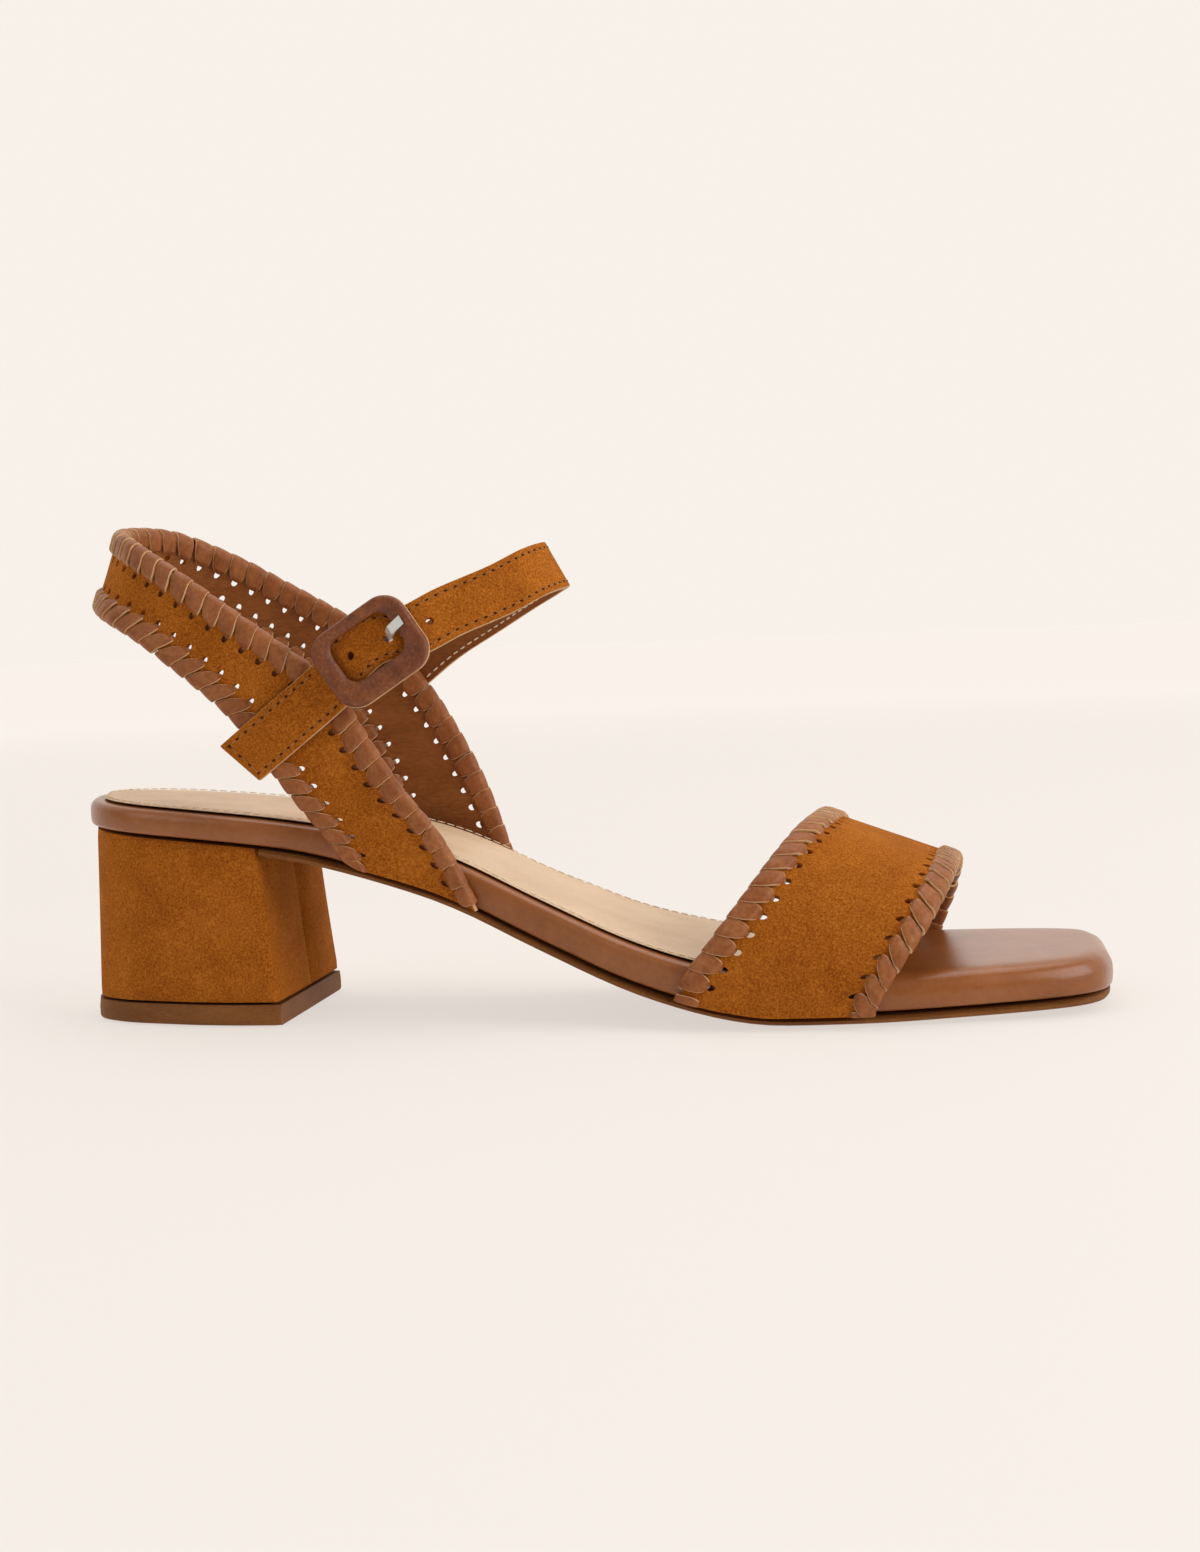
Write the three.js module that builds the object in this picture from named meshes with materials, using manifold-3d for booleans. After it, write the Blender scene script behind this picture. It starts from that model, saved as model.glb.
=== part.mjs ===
// A woman's block heel sandal for the right foot, in millimetres.
// +X runs to the toe, +Y to the inner (medial) side, +Z up.
// The origin is on the floor at the centre of the heel's tread.

import * as THREE from "three";
import { mergeVertices } from "three/addons/utils/BufferGeometryUtils.js";
import Module from "manifold-3d";

// Sole: overall sizes of the last
const footbedLength = 251;
const ballWidth = 80;
const heelHeight = 55.2;
const footbedThickness = 9;
const footbedEdgeRound = 2.4;
const outsoleThickness = 2.3;
const outsoleRim = 0.1;
const sockThickness = 1;
const sockInset = 3.6;
const seam = 0.3;

// Heel
const treadLength = 54.4;
const treadWidth = 56.6;
const topPieceThickness = 5.4;
const topPieceRim = 0.5;
const topPieceChamfer = 0.6;
const breastLean = 4.4;
const backLean = 1.7;
const blockWaist = 0.6;
const blockSeatShare = 0.97;

// Straps
const strapWall = 2;
const laceThickness = 0.8;
const lacePitch = 5;
const laceHem = 6.4;
const laceLean = 3.6;
const strapEase = 0.3;
const toeStrapRearRise = 45.2;
const toeStrapFrontRise = 32.5;
const ankleHeight = 122;
const ankleWidth = 60;
const ankleStrapWidth = 12.5;
const ankleStrapWall = 2;

// Buckle
const buckleLength = 24.8;
const buckleWidth = 19.4;
const buckleBar = 4.5;
const buckleCorner = 4.6;
const buckleDepth = 3;
const buckleFromTail = 41.7;
const buckleDrop = 2;
const buckleTilt = 0.12;
const bucklePost = 1.4;
const pivotRadius = 0.7;
const prongWidth = 2.2;
const prongThickness = 0.9;
const prongReach = 10.2;
const prongHole = 5.7;
const prongLean = 0.4;
const prongAside = 0.3;
const prongSkew = 0.2;
const prongSlotLength = 5.8;
const prongSlotWidth = 4;
const holePitch = 10;
const holeRadius = 1.1;
const chapeWidth = 8;
const chapeWall = 1;
const chapeReach = 8.5;

const ballTop = outsoleThickness + seam + footbedThickness;
const heelBack = -treadLength / 2;

// Half widths on each side, as shares of the ball width, from the back of the heel to the toe
const planRows = [
  { along: 0, lateral: 0, medial: 0 },
  { along: 0.008, lateral: 0.119, medial: 0.119 },
  { along: 0.02, lateral: 0.194, medial: 0.194 },
  { along: 0.04, lateral: 0.263, medial: 0.263 },
  { along: 0.08, lateral: 0.325, medial: 0.325 },
  { along: 0.16, lateral: 0.354, medial: 0.354 },
  { along: 0.24, lateral: 0.35, medial: 0.338 },
  { along: 0.32, lateral: 0.338, medial: 0.302 },
  { along: 0.4, lateral: 0.338, medial: 0.278 },
  { along: 0.445, lateral: 0.353, medial: 0.286 },
  { along: 0.5, lateral: 0.388, medial: 0.318 },
  { along: 0.545, lateral: 0.425, medial: 0.366 },
  { along: 0.6, lateral: 0.463, medial: 0.43 },
  { along: 0.645, lateral: 0.484, medial: 0.48 },
  { along: 0.695, lateral: 0.488, medial: 0.512 },
  { along: 0.755, lateral: 0.475, medial: 0.52 },
  { along: 0.84, lateral: 0.431, medial: 0.506 },
  { along: 0.895, lateral: 0.391, medial: 0.479 },
  { along: 0.94, lateral: 0.35, medial: 0.44 },
  { along: 0.972, lateral: 0.3, medial: 0.392 },
  { along: 0.992, lateral: 0.22, medial: 0.305 },
  { along: 1, lateral: 0.1, medial: 0.19 },
];

// Rise of the footbed's top above the ball, as a share of the heel's rise, and its depth as a share
// of the footbed's thickness
const profileRows = [
  { along: 0, rise: 1, depth: 0.75 },
  { along: 0.04, rise: 0.973, depth: 0.75 },
  { along: 0.08, rise: 0.951, depth: 0.75 },
  { along: 0.16, rise: 0.904, depth: 0.75 },
  { along: 0.24, rise: 0.843, depth: 0.76 },
  { along: 0.32, rise: 0.751, depth: 0.96 },
  { along: 0.36, rise: 0.686, depth: 1 },
  { along: 0.4, rise: 0.59, depth: 1 },
  { along: 0.445, rise: 0.455, depth: 1 },
  { along: 0.5, rise: 0.312, depth: 1 },
  { along: 0.545, rise: 0.197, depth: 1 },
  { along: 0.6, rise: 0.096, depth: 1 },
  { along: 0.645, rise: 0.034, depth: 1 },
  { along: 0.69, rise: 0, depth: 1 },
  { along: 0.785, rise: 0, depth: 1 },
  { along: 0.845, rise: 0.009, depth: 1 },
  { along: 0.9, rise: 0.018, depth: 1 },
  { along: 1, rise: 0.038, depth: 1 },
];

// Half width of the heel's tread, as a share of its width, from the back to the breast
const treadRows = [
  { along: 0, half: 0 },
  { along: 0.05, half: 0.205 },
  { along: 0.1, half: 0.28 },
  { along: 0.15, half: 0.318 },
  { along: 0.235, half: 0.368 },
  { along: 0.315, half: 0.398 },
  { along: 0.47, half: 0.438 },
  { along: 0.62, half: 0.474 },
  { along: 0.82, half: 0.497 },
  { along: 1, half: 0.5 },
];

// Sweep of the toe strap's two edges over the foot, as shares of the footbed's length
const toeStrapRows = [
  { turn: 0, rear: 0.6, front: 0.781 },
  { turn: 0.08, rear: 0.636, front: 0.806 },
  { turn: 0.2, rear: 0.673, front: 0.833 },
  { turn: 0.35, rear: 0.704, front: 0.851 },
  { turn: 0.5, rear: 0.723, front: 0.86 },
  { turn: 0.65, rear: 0.731, front: 0.864 },
  { turn: 0.8, rear: 0.719, front: 0.859 },
  { turn: 0.92, rear: 0.689, front: 0.846 },
  { turn: 1, rear: 0.661, front: 0.833 },
];
const toeStrapFullness = 0.72;

// The two edges of the quarter strap from the lateral foot, round the back of the ankle, to the medial
// foot: X as shares of the footbed's length, Y of the ankle's width, Z of the ankle's height
const quarterFeet = { lateral: { rear: 0.289, front: 0.419 }, medial: { rear: 0.293, front: 0.421 } };
const quarterRows = [
  { rearX: 0.268, rearY: -0.488, rearZ: 0.377, frontX: 0.384, frontY: -0.486, frontZ: 0.361 },
  { rearX: 0.244, rearY: -0.493, rearZ: 0.439, frontX: 0.347, frontY: -0.493, frontZ: 0.463 },
  { rearX: 0.221, rearY: -0.497, rearZ: 0.504, frontX: 0.316, frontY: -0.497, frontZ: 0.566 },
  { rearX: 0.199, rearY: -0.497, rearZ: 0.57, frontX: 0.286, frontY: -0.497, frontZ: 0.668 },
  { rearX: 0.176, rearY: -0.492, rearZ: 0.623, frontX: 0.248, frontY: -0.492, frontZ: 0.732 },
  { rearX: 0.134, rearY: -0.48, rearZ: 0.697, frontX: 0.185, frontY: -0.477, frontZ: 0.826 },
  { rearX: 0.088, rearY: -0.433, rearZ: 0.766, frontX: 0.134, frontY: -0.433, frontZ: 0.9 },
  { rearX: 0.046, rearY: -0.308, rearZ: 0.81, frontX: 0.084, frontY: -0.3, frontZ: 0.96 },
  { rearX: 0.022, rearY: -0.017, rearZ: 0.832, frontX: 0.047, frontY: -0.017, frontZ: 0.995 },
  { rearX: 0.048, rearY: 0.292, rearZ: 0.836, frontX: 0.074, frontY: 0.3, frontZ: 0.993 },
  { rearX: 0.09, rearY: 0.433, rearZ: 0.807, frontX: 0.128, frontY: 0.442, frontZ: 0.939 },
  { rearX: 0.135, rearY: 0.48, rearZ: 0.75, frontX: 0.177, frontY: 0.483, frontZ: 0.88 },
  { rearX: 0.179, rearY: 0.488, rearZ: 0.689, frontX: 0.231, frontY: 0.492, frontZ: 0.815 },
  { rearX: 0.213, rearY: 0.483, rearZ: 0.627, frontX: 0.285, frontY: 0.483, frontZ: 0.742 },
  { rearX: 0.239, rearY: 0.475, rearZ: 0.557, frontX: 0.325, frontY: 0.475, frontZ: 0.648 },
  { rearX: 0.261, rearY: 0.458, rearZ: 0.471, frontX: 0.356, frontY: 0.462, frontZ: 0.545 },
  { rearX: 0.279, rearY: 0.453, rearZ: 0.389, frontX: 0.383, frontY: 0.443, frontZ: 0.434 },
];

// The middle line of the ankle strap from its medial end, round the front of the ankle, to its tail, in
// the same shares, and the share of its width that leans back
const ankleStrapRows = [
  { x: 0.294, y: 0.535, z: 0.676, lean: 0.6 },
  { x: 0.341, y: 0.513, z: 0.748, lean: 0.53 },
  { x: 0.39, y: 0.425, z: 0.802, lean: 0.5 },
  { x: 0.432, y: 0.293, z: 0.845, lean: 0.5 },
  { x: 0.464, y: 0.16, z: 0.874, lean: 0.49 },
  { x: 0.479, y: 0, z: 0.884, lean: 0.47 },
  { x: 0.466, y: -0.19, z: 0.869, lean: 0.49 },
  { x: 0.44, y: -0.337, z: 0.836, lean: 0.48 },
  { x: 0.396, y: -0.447, z: 0.797, lean: 0.5 },
  { x: 0.362, y: -0.52, z: 0.761, lean: 0.52 },
  { x: 0.325, y: -0.552, z: 0.742, lean: 0.56 },
  { x: 0.285, y: -0.555, z: 0.663, lean: 0.61 },
  { x: 0.241, y: -0.552, z: 0.592, lean: 0.62 },
  { x: 0.196, y: -0.55, z: 0.521, lean: 0.74 },
];

// Colours and finishes
const suede = { color: 0xb06a24, roughness: 0.95, metalness: 0 };
const wrapLeather = { color: 0x8c5430, roughness: 0.4, metalness: 0 };
const sockLeather = { color: 0xd4b496, roughness: 0.6, metalness: 0 };
const soleLeather = { color: 0x73502d, roughness: 0.7, metalness: 0 };
const buckleLeather = { color: 0x73412a, roughness: 0.5, metalness: 0 };
const nickel = { color: 0xc8c8c0, roughness: 0.25, metalness: 1 };

const wasm = await Module();
wasm.setup();

const clamp = THREE.MathUtils.clamp;
const lerp = THREE.MathUtils.lerp;
const vector = (x, y, z) => new THREE.Vector3(x, y, z);

// Value of one column of a table at a place, by a cubic that never overshoots its rows
function columnAt(rows, key, column, place) {
  const at = clamp(place, rows[0][key], rows[rows.length - 1][key]);
  let i = 0;
  while (i < rows.length - 2 && at > rows[i + 1][key]) i += 1;
  const slope = (k) => (rows[k + 1][column] - rows[k][column]) / (rows[k + 1][key] - rows[k][key]);
  const tangent = (k) => {
    if (k === 0) return slope(0);
    if (k === rows.length - 1) return slope(k - 1);
    const before = slope(k - 1);
    const after = slope(k);
    return before * after <= 0 ? 0 : (2 * before * after) / (before + after);
  };
  const span = rows[i + 1][key] - rows[i][key];
  const t = (at - rows[i][key]) / span;
  const bend = t * t * (3 - 2 * t);
  const start = t * (1 - t) * (1 - t) * span * tangent(i);
  const end = t * t * (t - 1) * span * tangent(i + 1);
  return lerp(rows[i][column], rows[i + 1][column], bend) + start + end;
}

// Sole surfaces as functions of X
const alongAt = (x) => (x - heelBack) / footbedLength;
const xAt = (along) => heelBack + along * footbedLength;
const halfWidth = (x, side) =>
  ballWidth * columnAt(planRows, "along", side < 0 ? "lateral" : "medial", alongAt(x));
const footbedTop = (x) =>
  ballTop + (heelHeight - ballTop) * columnAt(profileRows, "along", "rise", alongAt(x));
const footbedBottom = (x) =>
  footbedTop(x) - footbedThickness * columnAt(profileRows, "along", "depth", alongAt(x));
const outsoleTop = (x) => footbedBottom(x) - seam;

// Places from one end to the other, closer together towards the ends that are rounded
function stations(from, to, count, roundStart = true, roundEnd = true) {
  const start = roundStart ? 0 : Math.PI / 2;
  const end = roundEnd ? Math.PI : Math.PI / 2;
  const first = Math.cos(start);
  const last = Math.cos(end);
  const list = [];
  for (let i = 0; i <= count; i += 1) {
    const share = start === end ? i / count : (first - Math.cos(lerp(start, end, i / count))) / (first - last);
    list.push(lerp(from, to, share));
  }
  return list;
}

// A point of a plan outline moved inwards by an inset
function insetPoint(half, x, side, inset) {
  const step = 0.02;
  const rise = (half(x + step, side) - half(x - step, side)) / (2 * step);
  const length = Math.hypot(rise, 1);
  const nose = half(x, side) === 0;
  const nx = nose ? -1 : -rise / length;
  const ny = nose ? 0 : 1 / length;
  return [x - inset * nx, side * (half(x, side) - inset * ny)];
}

// Closed solid from vertices and triangles: shared vertices are merged and faces point out
function closedGeometry(points, triangles) {
  const raw = new THREE.BufferGeometry();
  raw.setAttribute("position", new THREE.Float32BufferAttribute(points.flatMap((p) => p.toArray()), 3));
  raw.setIndex(triangles.flat());
  const merged = mergeVertices(raw, 1e-4);
  const index = merged.index.array;
  const position = merged.attributes.position;
  const kept = [];
  for (let i = 0; i < index.length; i += 3) {
    const [a, b, c] = [index[i], index[i + 1], index[i + 2]];
    if (a !== b && b !== c && a !== c) kept.push([a, b, c]);
  }
  const corner = (k) => vector().fromBufferAttribute(position, k);
  const volume = kept.reduce((sum, [a, b, c]) => sum + corner(a).dot(corner(b).cross(corner(c))), 0);
  merged.setIndex((volume < 0 ? kept.map(([a, b, c]) => [a, c, b]) : kept).flat());
  return merged;
}

// Plate with a plan outline: rings of the outline, each with its inset and height, from bottom to top
function plateGeometry(half, places, rings) {
  const count = places.length;
  const size = 2 * count;
  const points = [];
  for (const ring of rings) {
    for (const side of [-1, 1]) {
      for (const x of places) {
        const [px, py] = insetPoint(half, x, side, ring.inset);
        points.push(vector(px, py, ring.height(px)));
      }
    }
  }
  const lateral = (r, i) => r * size + i;
  const medial = (r, i) => r * size + count + i;
  const triangles = [];
  const quad = (a, b, c, d) => triangles.push([a, b, c], [a, c, d]);
  for (let r = 0; r + 1 < rings.length; r += 1) {
    for (let i = 0; i + 1 < count; i += 1) {
      quad(lateral(r, i), lateral(r, i + 1), lateral(r + 1, i + 1), lateral(r + 1, i));
      quad(medial(r, i + 1), medial(r, i), medial(r + 1, i), medial(r + 1, i + 1));
    }
    quad(lateral(r, count - 1), medial(r, count - 1), medial(r + 1, count - 1), lateral(r + 1, count - 1));
    quad(medial(r, 0), lateral(r, 0), lateral(r + 1, 0), medial(r + 1, 0));
  }
  const top = rings.length - 1;
  for (let i = 0; i + 1 < count; i += 1) {
    quad(lateral(top, i), lateral(top, i + 1), medial(top, i + 1), medial(top, i));
    quad(medial(0, i), medial(0, i + 1), lateral(0, i + 1), lateral(0, i));
  }
  return closedGeometry(points, triangles);
}

// Rings of a rounded top edge, from the side up to the top surface
function roundedEdge(radius, top, steps) {
  const rings = [];
  for (let i = 0; i <= steps; i += 1) {
    const angle = (i / steps) * (Math.PI / 2);
    const inset = radius * (1 - Math.cos(angle));
    const drop = radius * (1 - Math.sin(angle));
    rings.push({ inset, height: (x) => top(x) - drop });
  }
  return rings;
}

function footbedGeometry() {
  const places = stations(xAt(0), xAt(1), 36);
  const tuck = footbedEdgeRound / 3;
  return plateGeometry(halfWidth, places, [
    { inset: tuck, height: footbedBottom },
    { inset: 0, height: (x) => footbedBottom(x) + tuck },
    ...roundedEdge(footbedEdgeRound, footbedTop, 3),
  ]);
}

function sockGeometry() {
  const places = stations(xAt(0), xAt(0.7), 26, true, false);
  const lift = (x) => footbedTop(x) + seam;
  const round = sockThickness / 2;
  return plateGeometry(halfWidth, places, [
    { inset: sockInset, height: lift },
    { inset: sockInset, height: (x) => lift(x) + sockThickness - round },
    { inset: sockInset + round, height: (x) => lift(x) + sockThickness },
  ]);
}

// Heel: plan of the tread, and of the seat under the footbed, blended by the share of the height
const blockTopFront = heelBack + treadLength - breastLean;
const blockTopBack = heelBack + backLean;
const blockBottom = topPieceThickness;
const treadHalf = (x) => treadWidth * columnAt(treadRows, "along", "half", (x - heelBack) / treadLength);

function topPieceGeometry() {
  const places = stations(heelBack, -heelBack, 20, true, false);
  return plateGeometry(treadHalf, places, [
    { inset: topPieceChamfer, height: () => 0 },
    { inset: 0, height: () => topPieceChamfer },
    { inset: 0, height: () => topPieceThickness - seam },
  ]);
}

function heelBlockGeometry() {
  const treadShare = 1 - (2 * topPieceRim) / treadWidth;
  const levels = [0, 0.25, 0.5, 0.75, 1];
  const shares = stations(0, 1, 18, true, false);
  const points = [];
  for (const level of levels) {
    const back = lerp(heelBack + topPieceRim, blockTopBack, level);
    const front = lerp(-heelBack - topPieceRim, blockTopFront, level);
    const waistShare = 1 - ((2 * blockWaist) / treadWidth) * Math.sin(level * Math.PI);
    for (const side of [-1, 1]) {
      for (const share of shares) {
        const x = lerp(back, front, share);
        const treadX = lerp(heelBack, -heelBack, share);
        const foot = treadHalf(treadX) * treadShare;
        const seat = halfWidth(lerp(heelBack, front, share), side) * blockSeatShare;
        const height = lerp(blockBottom, footbedBottom(x) - seam, level);
        points.push(vector(x, side * lerp(foot, seat, level) * waistShare, height));
      }
    }
  }
  const count = shares.length;
  const at = (r, side, i) => r * 2 * count + (side < 0 ? 0 : count) + i;
  const triangles = [];
  const quad = (a, b, c, d) => triangles.push([a, b, c], [a, c, d]);
  const top = levels.length - 1;
  for (let r = 0; r < top; r += 1) {
    for (let i = 0; i + 1 < count; i += 1) {
      quad(at(r, -1, i), at(r, -1, i + 1), at(r + 1, -1, i + 1), at(r + 1, -1, i));
      quad(at(r, 1, i + 1), at(r, 1, i), at(r + 1, 1, i), at(r + 1, 1, i + 1));
    }
    quad(at(r, -1, count - 1), at(r, 1, count - 1), at(r + 1, 1, count - 1), at(r + 1, -1, count - 1));
  }
  for (let i = 0; i + 1 < count; i += 1) {
    quad(at(top, -1, i), at(top, -1, i + 1), at(top, 1, i + 1), at(top, 1, i));
    quad(at(0, 1, i), at(0, 1, i + 1), at(0, -1, i + 1), at(0, -1, i));
  }
  return closedGeometry(points, triangles);
}

function outsoleGeometry() {
  const places = stations(blockTopFront + seam, xAt(1), 30, false, true);
  const round = outsoleThickness / 3;
  return plateGeometry(halfWidth, places, [
    { inset: round - outsoleRim, height: (x) => outsoleTop(x) - outsoleThickness },
    { inset: -outsoleRim, height: (x) => outsoleTop(x) - outsoleThickness + round },
    { inset: -outsoleRim, height: outsoleTop },
  ]);
}

// Place on the sole's rim where a strap is caught between the footbed and the outsole
function strapFoot(side, along) {
  const x = xAt(along);
  const out = halfWidth(x, side) + seam + strapWall / 2 + strapEase;
  return vector(x, side * out, outsoleTop(x) + seam + strapEase);
}

// A strap between two edge curves: points by the share of the way along and the distance from the rear edge
class Band {
  constructor(edgeAt, feet, footReach) {
    this.edgeAt = edgeAt;
    this.feet = feet;
    this.footReach = footReach;
    const steps = 400;
    const middle = (t) => this.edgeAt(t, 0).lerp(this.edgeAt(t, 1), 0.5);
    this.lengths = [0];
    for (let i = 1; i <= steps; i += 1) {
      this.lengths.push(this.lengths[i - 1] + middle(i / steps).distanceTo(middle((i - 1) / steps)));
    }
    this.length = this.lengths[steps];
  }

  // Curve parameter at a distance along the strap's middle
  parameterAt(distance) {
    const last = this.lengths.length - 1;
    let i = 0;
    while (i < last - 1 && this.lengths[i + 1] < distance) i += 1;
    const span = this.lengths[i + 1] - this.lengths[i];
    return clamp((i + (distance - this.lengths[i]) / span) / last, 0, 1);
  }

  width(distance) {
    const t = this.parameterAt(distance);
    return this.edgeAt(t, 0).distanceTo(this.edgeAt(t, 1));
  }

  // Point of the middle surface, drawn to the sole's rim near each foot
  surface(distance, across) {
    const t = this.parameterAt(distance);
    const point = this.edgeAt(t, 0).lerp(this.edgeAt(t, 1), across);
    for (const foot of this.feet) {
      const away = foot.atStart ? distance : this.length - distance;
      const pull = 1 - THREE.MathUtils.smoothstep(away, this.footReach, 3 * this.footReach);
      if (pull === 0) continue;
      const straight = this.edgeAt(foot.atStart ? 0 : 1, 0).lerp(this.edgeAt(foot.atStart ? 0 : 1, 1), across);
      const along = lerp(foot.rear, foot.front, across);
      point.add(strapFoot(foot.side, along).sub(straight).multiplyScalar(pull));
    }
    return point;
  }

  // Outward normal of the middle surface
  normal(distance, across) {
    const step = 0.5;
    const sideStep = 0.02;
    const before = this.surface(Math.max(distance - step, 0), across);
    const after = this.surface(Math.min(distance + step, this.length), across);
    const near = this.surface(distance, Math.max(across - sideStep, 0));
    const far = this.surface(distance, Math.min(across + sideStep, 1));
    return far.sub(near).cross(after.sub(before)).normalize();
  }

  point(distance, fromRear, offset) {
    const across = fromRear / this.width(distance);
    return this.surface(distance, across).addScaledVector(this.normal(distance, across), offset);
  }

  // Share of the full lace relief at a distance: none where the strap is pressed to the sole's rim
  clearOfFeet(distance) {
    const gaps = this.feet.map((foot) => (foot.atStart ? distance : this.length - distance));
    const nearest = Math.min(...gaps, this.length);
    return clamp(nearest / this.footReach - 1, 0, 1);
  }
}

// Joins rings of equal size into one solid; the profile, flat, gives the triangles of both end caps
function loftGeometry(rings, profile) {
  const size = rings[0].length;
  const points = rings.flat();
  const triangles = [];
  for (let r = 0; r + 1 < rings.length; r += 1) {
    for (let i = 0; i < size; i += 1) {
      const j = (i + 1) % size;
      const [a, b, c, d] = [r * size + i, r * size + j, (r + 1) * size + j, (r + 1) * size + i];
      triangles.push([a, b, c], [a, c, d]);
    }
  }
  const last = (rings.length - 1) * size;
  const isClockwise = THREE.ShapeUtils.isClockWise;
  for (const [a, b, c] of THREE.ShapeUtils.triangulateShape([...profile], [])) {
    const sameWay = isClockwise([profile[a], profile[b], profile[c]]) === isClockwise(profile);
    const [first, second] = sameWay ? [b, c] : [c, b];
    triangles.push([a, second, first], [last + a, last + first, last + second]);
  }
  return closedGeometry(points, triangles);
}

// Strap with a whip lace round both edges: each turn is a raised strip with a groove beside it.
// The lean is how far a turn's end at the edge lies ahead of its end at the lace hole.
function lacedStrapGeometry(band, lean, middleColumns) {
  const turns = Math.round(band.length / lacePitch);
  const pitch = band.length / turns;
  const stripShare = 0.8;
  const half = strapWall / 2;
  const step = laceThickness / 2;
  const edgeRound = 0.75 * laceThickness;
  const rings = [];
  let profile = [];
  const addRing = (distance, raised) => {
    const ends = clamp(Math.min(distance, band.length - distance) / (2 * lacePitch), 0, 1);
    const shift = (lean / 2) * ends;
    const edge = clamp(distance + shift, 0, band.length);
    const hem = clamp(distance - shift, 0, band.length);
    const outer = half + (raised ? laceThickness : 0);
    const inner = half + (raised ? laceThickness * band.clearOfFeet(distance) : 0);
    const dip = raised ? 0 : laceThickness / 2;
    const edgeWidth = band.width(edge);
    const hemWidth = band.width(hem);
    const middles = [];
    for (let i = 1; i <= middleColumns; i += 1) {
      middles.push(lerp(laceHem + step, hemWidth - laceHem - step, i / (middleColumns + 1)));
    }
    const ring = [
      [edge, dip, 0],
      [edge, dip + edgeRound, outer],
      [hem, laceHem, outer],
      [hem, laceHem + step, half],
      ...middles.map((across) => [hem, across, half]),
      [hem, hemWidth - laceHem - step, half],
      [hem, hemWidth - laceHem, outer],
      [edge, edgeWidth - dip - edgeRound, outer],
      [edge, edgeWidth - dip, 0],
      [edge, edgeWidth - dip - edgeRound, -inner],
      [hem, hemWidth - laceHem, -inner],
      ...middles.reverse().map((across) => [hem, across, -half]),
      [hem, laceHem, -inner],
      [edge, dip + edgeRound, -inner],
    ];
    profile = ring.map(([, across, offset]) => new THREE.Vector2(across, offset));
    rings.push(ring.map(([place, across, offset]) => band.point(place, across, offset)));
  };
  for (let turn = 0; turn < turns; turn += 1) {
    addRing(turn * pitch, true);
    addRing((turn + stripShare) * pitch, true);
    if (turn < turns - 1) addRing((turn + (1 + stripShare) / 2) * pitch, false);
  }
  addRing(band.length, true);
  return loftGeometry(rings, profile);
}

// Toe strap: a full arch over the ball between the two sides of the sole
function toeStrapBand() {
  const first = toeStrapRows[0];
  const last = toeStrapRows[toeStrapRows.length - 1];
  const feet = [
    { atStart: true, side: -1, rear: first.rear, front: first.front },
    { atStart: false, side: 1, rear: last.rear, front: last.front },
  ];
  const edgeAt = (t, across) => {
    const column = across === 0 ? "rear" : "front";
    const rise = across === 0 ? toeStrapRearRise : toeStrapFrontRise;
    const angle = t * Math.PI;
    const lift = Math.sin(angle) ** toeStrapFullness;
    const reach = Math.abs(Math.cos(angle)) ** toeStrapFullness;
    const foot = angle < Math.PI / 2 ? strapFoot(-1, first[column]) : strapFoot(1, last[column]);
    const base = lerp(strapFoot(-1, first[column]).z, strapFoot(1, last[column]).z, t);
    const x = xAt(columnAt(toeStrapRows, "turn", column, t));
    return vector(x, foot.y * reach, base + (rise - base) * lift);
  };
  return new Band(edgeAt, feet, footbedThickness + 4 * sockThickness);
}

// Quarter strap: from the lateral side of the sole, round the back of the ankle, to the medial side
function quarterBand() {
  const edgeCurve = (edge) => {
    const rows = quarterRows.map((row) =>
      vector(xAt(row[`${edge}X`]), row[`${edge}Y`] * ankleWidth, row[`${edge}Z`] * ankleHeight));
    const lateral = strapFoot(-1, quarterFeet.lateral[edge]);
    const medial = strapFoot(1, quarterFeet.medial[edge]);
    return new THREE.CatmullRomCurve3([lateral, ...rows, medial], false, "centripetal");
  };
  const curves = [edgeCurve("rear"), edgeCurve("front")];
  const feet = [
    { atStart: true, side: -1, ...quarterFeet.lateral },
    { atStart: false, side: 1, ...quarterFeet.medial },
  ];
  return new Band((t, across) => curves[across].getPoint(t), feet, footbedThickness + sockThickness);
}

// Ankle strap: its middle line, and the direction of its width
function ankleStrapBand() {
  const line = new THREE.CatmullRomCurve3(
    ankleStrapRows.map((row) => vector(xAt(row.x), row.y * ankleWidth, row.z * ankleHeight)),
    false,
    "centripetal",
  );
  const leanLine = ankleStrapRows.map((row, i) => ({ turn: i / (ankleStrapRows.length - 1), lean: row.lean }));
  const edgeAt = (t, across) => {
    const lean = columnAt(leanLine, "turn", "lean", t);
    const widthWay = vector(-lean, 0, Math.sqrt(1 - lean * lean));
    return line.getPoint(t).addScaledVector(widthWay, (across - 0.5) * ankleStrapWidth);
  };
  return new Band(edgeAt, [], 1);
}

function plainStrapGeometry(band, count) {
  const half = ankleStrapWall / 2;
  const round = half / 2;
  const width = ankleStrapWidth;
  const section = [
    [0, half - round],
    [round, half],
    [width - round, half],
    [width, half - round],
    [width, round - half],
    [width - round, -half],
    [round, -half],
    [0, round - half],
  ];
  const rings = [];
  for (let i = 0; i <= count; i += 1) {
    const distance = (i / count) * band.length;
    rings.push(section.map(([across, offset]) => band.point(distance, across, offset)));
  }
  return loftGeometry(rings, section.map(([across, offset]) => new THREE.Vector2(across, offset)));
}

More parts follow.
